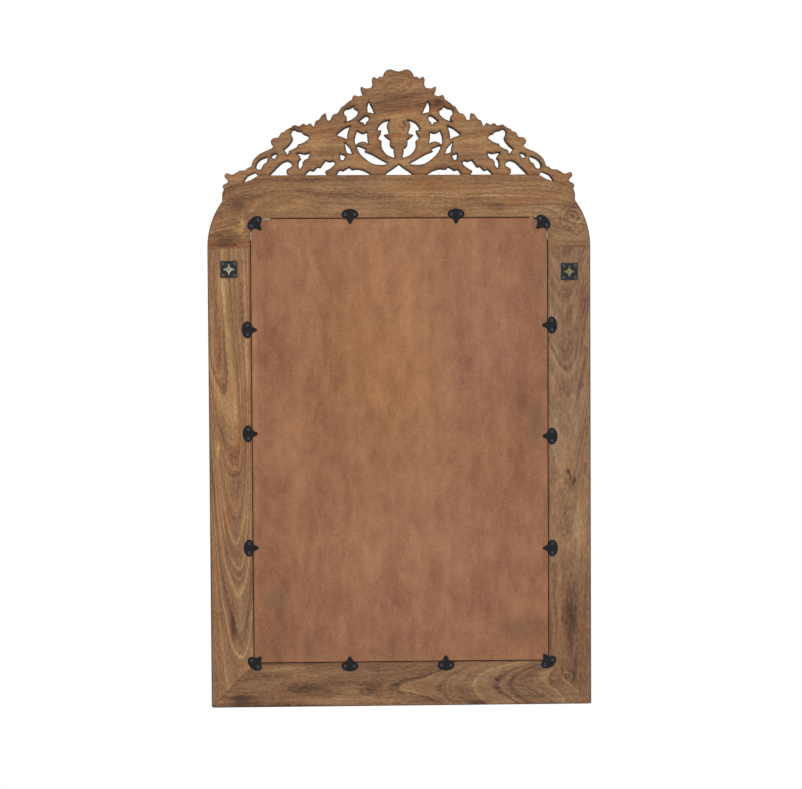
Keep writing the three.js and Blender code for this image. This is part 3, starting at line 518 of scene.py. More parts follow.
            (0, 0.4), (0.3, 0.6), (0.6, 0.42), (0.9, 0.56), (1.05, 0.36), (1.3, 0.58), (1.6, 0.42),
            (2, 0.34), (2.5, 0.44), (3, 0.38), (4, 0.58), (4.4, 0.46), (5, 0.58), (5.5, 0.48), (6, 0.58),
            (6.4, 0.46), (7, 0.56), (7.5, 0.48), (8, 0.56), (8.5, 0.46), (9, 0.5),
        ],
        "rings": [
            (-1, [(140, 1526), (95, 1535), (0, 1550)]),
            (0, [(20, 1494), (0, 1502), (-10, 1492), (20, 1480)]),
            (0.2, [(-50, 1511), (-100, 1506)]),
            (1, [(35, 1497), (10, 1511), (-20, 1514), (-30, 1499), (-25, 1480), (0, 1470), (60, 1454)]),
            (1, [(240, 1430), (165, 1444), (105, 1454)]),
            (1, [(-95, 1478), (-170, 1463), (-240, 1444)]),
            (2, [(130, 1420), (80, 1437), (35, 1449), (-15, 1456), (-50, 1466), (-85, 1470)]),
            (3, [(165, 1401), (35, 1427), (-25, 1434), (-75, 1444), (-115, 1446)]),
            (4, [(215, 1377), (0, 1413), (-95, 1420), (-170, 1410)]),
            (5, [(285, 1346), (200, 1362), (45, 1382), (-50, 1386), (-145, 1382), (-240, 1386),
                 (-290, 1362)]),
            (6, [(330, 1326), (240, 1341), (145, 1343), (45, 1355), (-50, 1358), (-145, 1353),
                 (-240, 1358), (-315, 1334)]),
            (7, [(360, 1302), (240, 1314), (145, 1319), (-50, 1331), (-145, 1324), (-240, 1329),
                 (-350, 1302)]),
            (8, [(385, 1278), (240, 1290), (0, 1300), (-240, 1300), (-375, 1276)]),
            (9, [(405, 1247), (240, 1266), (0, 1274), (-240, 1271), (-410, 1252)]),
        ],
        "stains": [
            (0.0, 1.445, 0.11, 0.030, -0.14), (-0.012, 1.394, 0.008, 0.011, -0.65),
            (0.0, 1.41, 0.05, 0.02, 0.14), (0.20, 1.345, 0.05, 0.03, 0.16), (-0.20, 1.35, 0.06, 0.03, 0.10),
            (-0.091, 1.442, 0.022, 0.018, -0.40), (0.115, 1.439, 0.018, 0.018, -0.26),
            (0.24, 1.386, 0.030, 0.012, -0.24), (-0.24, 1.388, 0.030, 0.014, -0.22),
            (-0.34, 1.31, 0.08, 0.02, 0.10), (0.0, 1.30, 0.20, 0.02, 0.08),
        ],
        "eyes": [(-0.012, 1.394, 0.026, 0.020, 0.12, 1.8)],
    },
}


def bandTones(tree, value, bands):  # light and dark growth rings, shared between two ramps
    half = len(bands) // 2
    tones = []
    for part in (bands[:half + 1], bands[half:]):
        low, high = part[0][0], part[-1][0]
        at = remap(tree, value, low, high, curve="LINEAR")
        tones.append(ramp(tree, at, [((u - low) / (high - low), (t, t, t)) for u, t in part]))
    return figure(tree, "SUBTRACT", total(tree, *tones), bands[half][1])


def ringsRound(tree, x, z, mark, wobble):  # an eye in the wood: a mark whose last number is its rings
    far = total(tree, farFrom(tree, x, z, mark[:5]), wobble)
    wave = figure(tree, "COSINE", times(tree, far, 2 * math.pi * mark[5]))
    return times(tree, times(tree, wave, mark[4]), remap(tree, far, 1.0, 0.35))


def mangoWood(name, look, mix=mangoMix):
    material, tree = newMaterial(name)
    _, x, y, z = axes(tree)
    along, across = (z, x) if look["grain"] == "Z" else (x, z)
    board = combine(tree, along, across, y)
    noise = {}
    for key, (stretch, step, detail, rough) in mangoGrain.items():
        noise[key] = mottle(tree, board, stretch, (0, 0, look["shift"] + step), detail, rough)
    deep = figure(tree, "MULTIPLY_ADD", y, ringSlope, -ringSlope * boardBack)
    ring = total(tree, painted(tree, "rings"), sway(tree, noise["wander"], look["wander"]), deep)
    lines = mottle(tree, combine(tree, ring, along, look["shift"]), (look["fineness"], 2, 1), rough=0.65)
    ragged, frayed, wobble = allSways(tree, noise, {key: mix[key] for key in ("ragged", "frayed", "wobble")})
    if look["grain"] == "Z":
        edgeX, edgeZ = total(tree, x, frayed), total(tree, z, ragged)
    else:
        edgeX, edgeZ = total(tree, x, ragged), total(tree, z, frayed)
    uneven = remap(tree, noise["cloud"], 0.3, 0.7, 0.6, 1.4, "LINEAR")
    stains = times(tree, allSpots(tree, edgeX, edgeZ, look["stains"]), uneven)
    amounts = {"streaks": look["streaks"], "flecks": look["flecks"], **mix["tone"]}
    eyes = [ringsRound(tree, x, z, mark, wobble) for mark in look["eyes"]]
    tone = total(tree, look["level"], sway(tree, bandTones(tree, ring, look["bands"]), look["contrast"]),
                 sway(tree, lines, look["lines"]), *allSways(tree, noise, amounts), stains, *eyes)
    tones = [(at, tuple(c * t for c, t in zip(shade, look["tint"]))) for at, shade in mangoTones]
    color = ramp(tree, tone, tones)
    for hue, low, high in (("rust", 0.50, 0.68), ("ash", 0.52, 0.70)):
        amount = times(tree, remap(tree, noise[hue], low, high), look[hue])
        color = blend(tree, "MULTIPLY", amount, color, mangoHues[hue])
    for mark in look["cool"]:
        amount = times(tree, spot(tree, edgeX, edgeZ, mark), mark[4])
        color = blend(tree, "MULTIPLY", amount, color, mangoHues["cool"])
    # The mesh's mark darkens worn edges, grooves, the cove, the rebate, bores and the sunk ground: wear,
    # darker finish and painted shade
    rub = painted(tree, "rub")
    color = blend(tree, "MIX", times(tree, rub, mix["rubbed"], clamp=True), color, mangoHues["rubbed"])
    wearAndPaintedLightShare = times(tree, rub, mix["rubbedRough"])
    gloss = total(tree, mix["rough"], *allSways(tree, noise, mix["gloss"]), wearAndPaintedLightShare)
    shader = dress(tree, color, gloss, relief(tree, noise, mix["relief"]))
    shader.inputs["Specular IOR Level"].default_value = mix["gleam"]
    return material


woods = {name: mangoWood(f"mango_{name}", look) for name, look in boardFigures.items()}
print("mango wood mixed for", len(woods), "boards")

# Stained backing board: long soft streaks, close mottling, paler in the upper middle
boardStain = {
    "deep": (0.196, 0.080, 0.042),
    "middle": (0.292, 0.130, 0.066),
    "pale": (0.400, 0.200, 0.092),
    "smudge": (0.120, 0.080, 0.050),
    "pink": (0.98, 0.97, 1.16),
    "warm": (1.0, 1.0, 0.86),
    "level": 0.386, "rough": 0.60, "gleam": 0.16,
    "tone": {"bands": 0.74, "fine": 0.30, "blots": 1.20, "dabs": 0.46, "specks": 1.15, "pores": 0.30},
    "gloss": {"specks": 0.24},
    "relief": {"specks": 0.8, "blots": 0.5, "pores": 0.3},
    "noises": {  # stretch, key, detail, roughness, warp
        "bands": ((9, 0, 1.5), 2, 3, 0.55, 0.0),
        "fine": ((40, 0, 4), 6, 3, 0.55, 0.0),
        "blots": ((30, 0, 14), 8, 5, 0.62, 0.25),
        "dabs": ((120, 0, 62), 31, 3, 0.60, 0.0),
        "specks": ((300, 0, 190), 5, 3, 0.65, 0.0),
        "pores": ((900, 0, 700), 15, 2, 0.60, 0.0),
        "drift": ((9, 0, 4), 21, 3, 0.55, 0.0),
    },
    "smudges": [  # x, z, half width, half height, strength
        (0.300, 0.255, 0.050, 0.050, 0.50), (0.218, 0.147, 0.04, 0.06, 0.36),
        (-0.323, 0.675, 0.030, 0.10, 0.62), (-0.275, 0.183, 0.06, 0.045, 0.46),
        (-0.330, 1.02, 0.03, 0.10, 0.26), (0.02, 0.125, 0.30, 0.02, 0.18),
    ],
    "patches": [  # x, z, half width, half height, amount: lighter where it is above 0
        (-0.01, 0.95, 0.32, 0.80, 0.20), (0.20, 1.06, 0.16, 0.22, 0.05), (-0.26, 1.00, 0.14, 0.28, 0.10),
        (0.28, 0.62, 0.10, 0.16, 0.18), (0.03, 0.38, 0.34, 0.16, 0.14), (-0.04, 0.22, 0.16, 0.06, 0.10),
        (0.31, 0.86, 0.06, 0.12, -0.22), (0.31, 0.16, 0.10, 0.10, -0.20), (-0.29, 0.17, 0.12, 0.09, -0.20),
        (-0.30, 0.72, 0.06, 0.10, -0.14), (-0.20, 0.40, 0.16, 0.14, 0.10), (0.16, 1.155, 0.30, 0.012, 0.12),
        (0.345, 0.60, 0.008, 0.60, 0.14),
    ],
    "pinks": [(-0.24, 0.90, 0.22, 0.36, 0.8), (-0.12, 0.36, 0.40, 0.26, 0.5), (0.0, 0.20, 0.40, 0.12, 0.4)],
    "warms": [(0.10, 0.84, 0.26, 0.34, 0.9), (0.0, 0.72, 0.12, 0.26, 0.5)],
}


def stainedBoard(look):
    material, tree = newMaterial("stained_board")
    where, x, _, z = axes(tree)
    noise = {}
    for key, (stretch, step, *rest) in look["noises"].items():
        noise[key] = mottle(tree, where, stretch, (0, step, 0), *rest)
    patches = allSpots(tree, x, z, look["patches"])
    tone = total(tree, look["level"], *allSways(tree, noise, look["tone"]), patches)
    color = ramp(tree, tone, [(0.0, look["deep"]), (0.42, look["middle"]), (0.95, look["pale"])])
    for hue, low, high in (("pink", 0.36, 0.56), ("warm", 0.34, 0.58)):
        uneven = remap(tree, noise["drift"], low, high, 0.45, 1.0)
        area = times(tree, allSpots(tree, x, z, look[hue + "s"]), uneven, clamp=True)
        color = blend(tree, "MULTIPLY", area, color, look[hue])
    for mark in look["smudges"]:
        uneven = remap(tree, noise["blots"], 0.35, 0.65, 0.4 * mark[4], mark[4])
        color = blend(tree, "MIX", times(tree, spot(tree, x, z, mark), uneven), color, look["smudge"])
    gloss = total(tree, look["rough"], *allSways(tree, noise, look["gloss"]))
    shader = dress(tree, color, gloss, relief(tree, noise, look["relief"]), reach=0.0005)
    shader.inputs["Specular IOR Level"].default_value = look["gleam"]
    return material


# Black steels: colour, its paler patches, the paler metal of worn edges and painted highlights, roughness and
# gleam
steelLooks = {
    "clip": {
        "name": "black_clip_steel", "color": (0.005, 0.005, 0.006), "patch": (0.009, 0.009, 0.011),
        "bare": (0.022, 0.024, 0.030), "rough": 0.44, "gleam": 0.20,
    },
    "plate": {
        "name": "black_plate_steel", "color": (0.011, 0.011, 0.013), "patch": (0.020, 0.022, 0.028),
        "bare": (0.036, 0.040, 0.050), "rough": 0.46, "gleam": 0.26,
    },
    "screw": {
        "name": "black_screw_steel", "color": (0.010, 0.011, 0.014), "patch": (0.020, 0.023, 0.031),
        "bare": (0.085, 0.100, 0.135), "rough": 0.34, "gleam": 0.45,
    },
    "plateScrew": {
        "name": "black_plate_screw", "color": (0.012, 0.013, 0.016), "patch": (0.026, 0.030, 0.038),
        "bare": (0.200, 0.215, 0.225), "rough": 0.34, "gleam": 0.45,
    },
}


def blackSteel(look):
    material, tree = newMaterial(look["name"])
    where = axes(tree)[0]
    patches = mottle(tree, where, (150, 150, 150), detail=4.0, rough=0.6)
    peel = mottle(tree, where, (1200, 1200, 1200), rough=0.6)
    # Paler metal on worn edges with a painted sheen, and a painted highlight ring on each screw head
    wearAndPaintedLightShare = times(tree, painted(tree, "rub"), remap(tree, patches, 0.35, 0.65, 0.25, 1.0))
    tone = blend(tree, "MIX", remap(tree, patches, 0.3, 0.75, 0.0, 0.6), look["color"], look["patch"])
    tone = blend(tree, "MIX", times(tree, wearAndPaintedLightShare, 0.8), tone, look["bare"])
    gloss = remap(tree, patches, 0.25, 0.75, look["rough"] - 0.08, look["rough"] + 0.14)
    shader = dress(tree, tone, gloss, peel, reach=0.00012)
    shader.inputs["Specular IOR Level"].default_value = look["gleam"]
    return material


# Finishes of one noise: its stretch, the span of it that runs from dark to light, roughness at both ends,
# and the strength and reach of its relief
plainLooks = {
    # The cream is near white so that the shaded pocket still reads bright: painted light
    "boredRight": {
        "name": "bored_wood_cream", "stretch": (700, 200, 60), "span": (0.3, 0.7),
        "dark": (0.94, 0.84, 0.68), "light": (1.0, 0.97, 0.88), "rough": (0.75, 0.9),
        "relief": (0.4, 0.0004),
    },
    "boredLeft": {
        "name": "bored_wood_yellow", "stretch": (700, 200, 60), "span": (0.3, 0.7),
        "dark": (0.62, 0.46, 0.24), "light": (0.92, 0.76, 0.46), "rough": (0.75, 0.9),
        "relief": (0.4, 0.0004),
    },
    "glass": {
        "name": "silvered_glass", "stretch": (9, 1, 9), "span": (0.2, 0.8),
        "dark": (0.80, 0.84, 0.85), "light": (0.86, 0.89, 0.90), "rough": (0.012, 0.028), "metal": 1.0,
    },
    "glassBack": {
        "name": "mirror_back_paint", "stretch": (60, 60, 60), "span": (0.3, 0.7),
        "dark": (0.085, 0.060, 0.046), "light": (0.150, 0.112, 0.086), "rough": (0.6, 0.8),
    },
    "paste": {
        "name": "corner_paste", "stretch": (500, 500, 500), "span": (0.3, 0.7),
        "dark": (0.20, 0.14, 0.085), "light": (0.46, 0.37, 0.25), "rough": (0.75, 0.92),
        "relief": (0.6, 0.0005),
    },
    # The sawn walls are dark stain, darkened further by painted shade
    "sawn": {
        "name": "sawn_edge", "stretch": (220, 40, 220), "span": (0.3, 0.7),
        "dark": (0.042, 0.026, 0.018), "light": (0.096, 0.060, 0.039), "rough": (0.6, 0.8),
        "relief": (0.5, 0.0006),
    },
}


def plainFinish(look):
    material, tree = newMaterial(look["name"])
    noise = mottle(tree, axes(tree)[0], look["stretch"], detail=4.0)
    low, high = look["span"]
    color = ramp(tree, noise, [(low, look["dark"]), (high, look["light"])])
    gloss = remap(tree, noise, low, high, *look["rough"])
    shader = dress(tree, color, gloss, noise if "relief" in look else None, *look.get("relief", ()))
    shader.inputs["Metallic"].default_value = look.get("metal", 0.0)
    return material


finishes = {"board": stainedBoard(boardStain)}
finishes.update({key: blackSteel(look) for key, look in steelLooks.items()})
finishes.update({key: plainFinish(look) for key, look in plainLooks.items()})
print("finishes mixed")


# Mesh helpers. Points are in millimetres, and flat ones are x and z
def solidMesh(name, points, faces):
    mesh = bpy.data.meshes.new(name)
    mesh.from_pydata([tuple(p) for p in np.asarray(points) * mm], [], [tuple(f) for f in faces])
    work = bmesh.new()
    work.from_mesh(mesh)
    bmesh.ops.recalc_face_normals(work, faces=work.faces)
    work.to_mesh(mesh)
    work.free()
    return mesh


def finishMesh(mesh, materials, crease, **marks):  # marks are values at each point, for the materials to read
    mesh.materials.clear()
    for material in materials:
        mesh.materials.append(material)
    for name, values in marks.items():
        layer = mesh.attributes.new(name, "FLOAT", "POINT")
        layer.data.foreach_set("value", np.asarray(values, np.float32))
    mesh.shade_smooth()
    mesh.set_sharp_from_angle(angle=math.radians(crease))


def makePiece(name, points, faces, materials, slots=None, crease=32.0, place=None, **marks):
    mesh = solidMesh(name, points, faces)
    finishMesh(mesh, materials, crease, **{"rub": np.zeros(len(points)), **marks})
    if slots is not None:
        mesh.polygons.foreach_set("material_index", np.asarray(slots, dtype=np.int32))
    piece = addObject(name, mesh, place)
    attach(piece, "root")
    return piece


def circle(x, z, radius, sides, way=1):
    turn = way * np.arange(sides) * 2 * math.pi / sides
    return np.stack([x + radius * np.cos(turn), z + radius * np.sin(turn)], axis=1)


def fourTimes(points):  # flat points, and the same after one, two and three quarter turns
    turns = [np.asarray(points, float)]
    for _ in range(3):
        turns.append(np.stack([-turns[-1][:, 1], turns[-1][:, 0]], axis=1))
    return np.concatenate(turns)


def upright(flat, depth):  # flat points stood up at a depth
    return np.stack([flat[:, 0], np.zeros(len(flat)) + depth, flat[:, 1]], axis=1)


def band(a, b, count):  # faces between two rings of points that begin at a and at b
    return [(a + i, a + (i + 1) % count, b + (i + 1) % count, b + i) for i in range(count)]


# Points along a closed loop no further apart than step, corners kept
def resample(loop, step):
    result = []
    for a, b in zip(loop, np.roll(loop, -1, axis=0)):
        count = max(1, int(math.ceil(np.linalg.norm(b - a) / step)))
        result += [a + (b - a) * i / count for i in range(count)]
    return np.array(result)


def turnArea(loop):  # above 0 where the loop turns from x towards z
    x, z = loop[:, 0], loop[:, 1]
    return 0.5 * np.sum(x * np.roll(z, -1) - np.roll(x, -1) * z)


# Whether each point is inside an odd number of loops
def insideOf(points, loops):
    inside = np.zeros(len(points), bool)
    px, pz = points[:, 0], points[:, 1]
    for loop in loops:
        for (ax, az), (bx, bz) in zip(loop, np.roll(loop, -1, axis=0)):
            hit = (az > pz) != (bz > pz)
            if hit.any():
                inside ^= hit & (px < (bx - ax) * (pz - az) / (bz - az) + ax)
    return inside


def edgeTree(loops, step=0.4, keep=None):
    samples = np.concatenate([resample(loop, step) for loop in loops])
    if keep is not None:
        samples = samples[keep(samples)]
    tree = kdtree.KDTree(len(samples))
    for index, (x, z) in enumerate(samples):
        tree.insert((x, z, 0.0), index)
    tree.balance()
    return tree


def edgeDistance(tree, points):
    return np.array([tree.find((p[0], p[1], 0.0))[2] for p in points])


# Triangles over the region between loops, through the extra points too
def fillFlat(loops, extra):
    points = np.concatenate([*loops, extra])
    edges = []
    start = 0
    for loop in loops:
        count = len(loop)
        edges += [(start + i, start + (i + 1) % count) for i in range(count)]
        start += count
    made, _, faces, origin, _, _ = delaunay_2d_cdt([Vector(p) for p in points], edges, [], 0, 1e-5, True)
    if len(made) != len(points):
        print("  flat fill changed its points:", len(points), "->", len(made))
    back = np.array([o[0] if o else -1 for o in origin])
    tris = np.array([f for f in faces if len(f) == 3])
    middles = np.array([tuple(p) for p in made])[tris].mean(axis=1)
    return points, back[tris[insideOf(middles, loops)]]


# Rows of points inside the edge at each depth, kept where no other edge is nearer
def edgeRows(loops, tree, depths, spacing):
    rows = []
    for depth in depths:
        for index, loop in enumerate(loops):
            side = (1 if turnArea(loop) > 0 else -1) * (1 if index == 0 else -1)
            dense = resample(loop, spacing)
            along = np.roll(dense, -1, axis=0) - np.roll(dense, 1, axis=0)
            along /= np.maximum(np.linalg.norm(along, axis=1), 1e-9)[:, None]
            rows.append(dense + np.stack([-along[:, 1], along[:, 0]], axis=1) * side * depth)
    rows = np.concatenate(rows)
    rows = rows[insideOf(rows, loops)]
    off = np.abs(edgeDistance(tree, rows)[:, None] - np.array(depths)[None])
    aim = np.array(depths)[off.argmin(axis=1)]
    return rows[off.min(axis=1) < 0.12 * np.maximum(aim, 0.8)]


# Drops points nearer than gap to one kept before
def thinOut(points, gap):
    kept = {}
    result = []
    around = [(i, j) for i in (-1, 0, 1) for j in (-1, 0, 1)]
    for p in points:
        cell = (int(math.floor(p[0] / gap)), int(math.floor(p[1] / gap)))
        near = [kept[at] for at in ((cell[0] + i, cell[1] + j) for i, j in around) if at in kept]
        if all((q[0] - p[0]) ** 2 + (q[1] - p[1]) ** 2 >= gap * gap for q in near):
            kept[cell] = p
            result.append(p)
    return np.array(result)


def meshGrid(low, high, step):
    rows = []
    for row, z in enumerate(np.arange(low[1], high[1], step * 0.866)):
        xs = np.arange(low[0] + (row % 2) * step / 2, high[0], step)
        rows.append(np.stack([xs, np.full(len(xs), z)], axis=1))
    return np.concatenate(rows)


# Flat points and triangles between loops, and each point's distance from the edge. There are rows of
# points along the edge, then a grid from a distance on; none is nearer than gap to another
def flatSkin(loops, tree, rows, rowStep, gap, gridStep=None, gridFrom=0.0):
    extra = edgeRows(loops, tree, rows, rowStep)
    if gridStep:
        grid = meshGrid(loops[0].min(axis=0), loops[0].max(axis=0), gridStep)
        grid = grid[insideOf(grid, loops)]
        extra = np.concatenate([extra, grid[edgeDistance(tree, grid) > gridFrom]])
    extra = thinOut(extra, gap)
    points, tris = fillFlat(loops, extra)
    onEdge = np.zeros(len(points) - len(extra))
    return points, tris, np.concatenate([onEdge, edgeDistance(tree, extra)])


# A closed solid of two skins over matching loops. A skin is flat points, triangles, depth, and its wear and
# painted light
def joinSkins(loops, front, back):
    shift = len(front[0])
    points = np.concatenate([upright(flat, depth) for flat, _, depth, _ in (front, back)])
    faces = [tuple(t) for t in front[1]] + [tuple(shift + t[::-1]) for t in back[1]]
    start = 0
    for loop in loops:
        faces += band(start, shift + start, len(loop))
        start += len(loop)
    return points, faces, np.concatenate([front[3], back[3]])


def curvePoint(p0, p1, p2, p3, t):  # on the smooth curve from p1 to p2
    square = (2 * p0 - 5 * p1 + 4 * p2 - p3) * t * t
    return 0.5 * (2 * p1 + (p2 - p0) * t + square + (3 * p1 - p0 - 3 * p2 + p3) * t ** 3)


def smoothPath(points, count):
    points = np.asarray(points, float)
    if len(points) == 2:
        return np.linspace(*points, count)
    padded = np.concatenate([[2 * points[0] - points[1]], points, [2 * points[-1] - points[-2]]])
    result = []
    for i in range(len(points) - 1):
        result += [curvePoint(*padded[i:i + 4], t) for t in np.linspace(0, 1, count, endpoint=False)]
    return np.array([*result, points[-1]])


# For each point, its distance to the path and how far along it the nearest place is; then the path's length
def alongPath(path, points):
    best = np.full(len(points), 1e9)
    run = np.zeros(len(points))
    travelled = 0.0
    for a, b in zip(path[:-1], path[1:]):
        step = b - a
        length = float(np.linalg.norm(step))
        if length < 1e-6:
            continue
        t = np.clip(((points - a) @ step) / (length * length), 0, 1)
        far = np.linalg.norm(points - (a + t[:, None] * step), axis=1)
        near = far < best
        best[near] = far[near]
        run[near] = (travelled + t * length)[near]
        travelled += length
    return best, run, travelled


def soft(low, high, value):  # a soft step from 0 to 1
    t = np.clip((value - low) / (high - low), 0, 1)
    return t * t * (3 - 2 * t)


def nearEdge(depth, reach):  # 1 at the edge, 0 from reach on
    return 1 - np.clip(depth / reach, 0, 1)


def roundOver(depth, reach, drop):  # how far a rounded edge falls
    return drop * (1 - np.sqrt(1 - nearEdge(depth, reach) ** 2))


def dome(distance, radius, power=2.0):
    return np.sqrt(np.clip(1 - (distance / radius) ** power, 0, 1))


# The ring number at any place of a board: a bent plate that passes through the drawn rings
def ringField(look, points, spread=60.0, give=0.001, share=4000):
    reach = np.array(look["stretch"]) * spread
    curves = [smoothPath(curve, 4) for _, curve in look["rings"]]
    knots = np.concatenate(curves) / reach
    values = np.concatenate([np.full(len(c), value) for c, (value, _) in zip(curves, look["rings"])])
    count = len(knots)

    def bend(a, b):
        apart = ((a[:, None] - b[None]) ** 2).sum(axis=2)
        return 0.5 * apart * np.log(np.maximum(apart, 1e-12))

    plane = np.concatenate([np.ones((count, 1)), knots], axis=1)
    system = np.zeros((count + 3, count + 3))
    system[:count, :count] = bend(knots, knots) + give * np.eye(count)
    system[:count, count:] = plane
    system[count:, :count] = plane.T
    weights = np.linalg.solve(system, np.concatenate([values, np.zeros(3)]))
    spots = points[:, [0, 2]] / reach
    parts = np.array_split(spots, max(1, len(spots) // share))
    numbers = [bend(p, knots) @ weights[:count] + weights[count] + p @ weights[count + 1:] for p in parts]
    return np.concatenate(numbers)


# Frame boards. Borders, lines and the bead are measured in from the board's edges
frameShape = {
    "halfWidth": 457.2, "jointHeight": 1101.0, "windowHalf": 347.6, "windowBottom": 114.0,
    "windowTop": 1164.0, "windowRadius": 36.0, "rebate": 8.0, "back": 19.0, "front": -19.0,
    "rebateFloor": 8.0, "seam": 0.06, "backRounding": 1.1, "frontRounding": 4.0, "cornerRadius": 5.0,
    "outerBorder": 16.0, "innerBorder": 20.0, "fieldSink": 6.4, "lineAt": 8.0, "lineDepth": 0.9,
    "beadAt": 14.0, "beadHalf": 2.8, "beadRise": 2.2, "coveWidth": 10.0, "coveDepth": 12.0,
    "cornerFlower": 56.8, "footFlower": 59.0, "topFlower": 57.0, "turnRadius": 95.0,
    "groundDark": 0.52, "groundReach": 2.2,  # the sunk ground's darker wash and painted shade fade up the carving
    "edgeStain": 0.55, "edgeStainReach": 1.4,  # the dark line beside the back's edges: dark finish and painted shade
    "cleanAbove": 1246.0, "cleanShare": 0.88,  # the top rail's back edges lose their darkening under the crest
    "step": 2.0, "across": 36,
    "backSkin": {"rows": (0.7, 2.3), "rowStep": 3.0, "gridStep": 3.5, "gridFrom": 4.05, "gap": 0.6},
}
shoulder = {"pull": (457.2, 1163.3), "end": (421.05, 1212.1), "bulge": (420.8, 1228.2)}
railEdge = [  # of one half, under the crest
    (417.1, 1241.2), (394.8, 1249.5), (370.9, 1256.8), (352.0, 1263.5), (343.1, 1269.0), (333.9, 1274.0),
]
railTop = (0.0, 1274.0)
vine = {
    "wave": 132.0, "swing": 15.0, "stemHalf": 3.6, "stemHeight": 4.6, "edgeFade": 3.0,
    "veinHalf": 0.9, "veinDepth": 1.43, "ribPitch": 6.0, "ribDepth": 1.15, "lobes": 3.6, "lobeDepth": 0.20,
    "leaves": [  # path across one wave, widest half width, height
        ([(2, 2), (16, -9), (34, -21), (50, -24), (60, -15), (56, -8)], 11.0, 5.9),
        ([(22, 13), (34, 22), (48, 29), (58, 26)], 7.5, 4.9),
        ([(38, 15), (46, 5), (50, -4)], 5.0, 4.2),
    ],
}
flower = {
    "radius": 31.0, "petals": 8, "petalHeight": 4.2, "petalRise": 1.9, "veinDepth": 1.7, "veinHalf": 1.6,
    "innerReach": 12.0, "innerPetal": 5.0, "innerHeight": 6.2, "button": 6.5, "buttonHeight": 4.2,
    "buttonRise": 2.0, "clearance": 5.0,
}


# Height of a running vine with curled leaves over the sunk ground; s runs along the board, w across it
def vineCarving(s, w, half, look=vine):
    wave = look["wave"]
    base = np.mod(s, wave)
    height = np.zeros(len(s))
    for turn in (-1, 0, 1):
        for flip in (0, 1):
            at = np.stack([base - turn * wave - flip * wave / 2, -w if flip else w], axis=1)
            for path, wide, tall in look["leaves"]:
                far, run, length = alongPath(smoothPath(path, 6), at)
                share = np.clip(run / length, 0, 1)
                lobes = 1 - look["lobeDepth"] * (1 - np.abs(np.cos(look["lobes"] * math.pi * share)))
                width = wide * np.sin(math.pi * np.clip(share, 0.03, 0.97) ** 0.8) ** 0.75 * lobes
                body = dome(far, np.maximum(width, 0.5))
                vein = look["veinDepth"] * np.exp(-(far / look["veinHalf"]) ** 2)
                rib = 0.5 - 0.5 * np.cos(2 * math.pi * (run - 0.9 * far) / look["ribPitch"])
                cut = vein + look["ribDepth"] * rib * soft(1.0, 3.5, far)
                height = np.maximum(height, tall * body - cut * (body > 0.05))
    at = np.stack([base, w], axis=1)
    across = np.linspace(0, wave, 34)
    for turn in (-1, 0, 1):
        stem = np.stack([across + turn * wave, look["swing"] * np.sin(2 * math.pi * across / wave)], axis=1)
        far = alongPath(stem, at)[0]
        height = np.maximum(height, look["stemHeight"] * dome(far, look["stemHalf"]))
    return height * soft(0.0, look["edgeFade"], half - np.abs(w))


# Height of a flower round its middle, and where it covers the vine
def rosette(dx, dz, look=flower):
    far = np.hypot(dx, dz)
    turn = look["petals"] / 2 * np.arctan2(dz, dx)
    petal = np.abs(np.cos(turn)) ** 0.55
    vein = np.exp(-(np.abs(np.sin(turn)) * far / look["veinHalf"]) ** 2) * soft(9, 14, far)
    height = look["petalHeight"] + look["petalRise"] * petal * soft(6, 18, far) - look["veinDepth"] * vein
    height = height * dome(far, look["radius"] * (0.80 + 0.20 * petal), 2.6)
    innerReach = look["innerReach"] + look["innerPetal"] * np.abs(np.sin(turn)) ** 0.6
    height = np.maximum(height, look["innerHeight"] * dome(far, innerReach, 3.0))
    button = look["buttonHeight"] + look["buttonRise"] * dome(far, look["button"])
    return np.where(far < look["button"], button, height), far < look["radius"] + 1.5


# Cross-section from the back's outer edge round the front to the back's inner edge. Each point is the edge
# that it is measured from, its distance from there, its depth and its darkening, which is darker finish and
# painted shade
def boardProfile(look):
    back, front, floor = look["back"], look["front"], look["rebateFloor"]
    outer, inner, field = look["outerBorder"], look["innerBorder"], front + look["fieldSink"]
    r, q = look["backRounding"], look["frontRounding"]
    line, bead, low = look["lineAt"], look["beadAt"], front + look["lineDepth"]
    coveWide, coveDeep = look["coveWidth"], look["coveDepth"]

    def arc(edge, middle, depth, wide, deep, angles, dark):
        turns = [math.radians(a) for a in angles]
        return [(edge, middle + wide * math.cos(t), depth + deep * math.sin(t), dark) for t in turns]

    return [
        ("out", r, back, 0.75), *arc("out", r, back - r, r, r, (120, 150, 180), 0.95),
        ("out", 0.0, back - 6, 0.15), ("out", 0.0, 0.0, 0.06), ("out", 0.0, front + q, 0.2),
        *arc("out", q, front + q, q, q, (202, 225, 248, 270), 0.15),
        ("out", line - 1, front, 0.0), ("out", line, low, 0.7), ("out", line + 1, front, 0.0),
        ("out", outer - 0.9, front, 0.0), ("out", outer - 0.2, front + 0.6, 0.1),
        ("out", outer, field - 0.4, 0.7),
        *[("field", i / look["across"], field, 0.0) for i in range(look["across"] + 1)],
        ("in", inner, field - 0.4, 0.7),
        ("in", inner - 0.2, front + 0.6, 0.1), ("in", inner - 0.9, front, 0.0),
        ("in", bead + 3.6, front, 0.0), ("in", bead + 3, low, 0.7),
        *arc("in", bead, low, look["beadHalf"], look["beadRise"], (-18, -50, -90, -130, -162), 0.0),
        ("in", bead - 3, low, 0.7), ("in", bead - 3.8, front, 0.0),
        *arc("in", 0.0, front, coveWide, coveDeep, (2, 20, 38, 56), 0.1),
        *arc("in", 0.0, front, coveWide, coveDeep, (74, 90), 0.35),
        ("in", 0.0, floor - 0.4, 0.5), ("in", -0.4, floor, 0.5),
        ("lap", 0.0, floor, 0.6), ("lap", 0.0, back - 4, 0.30),
        *arc("lap", r, back - r, r, r, (180, 135, 90), 0.28),
    ]


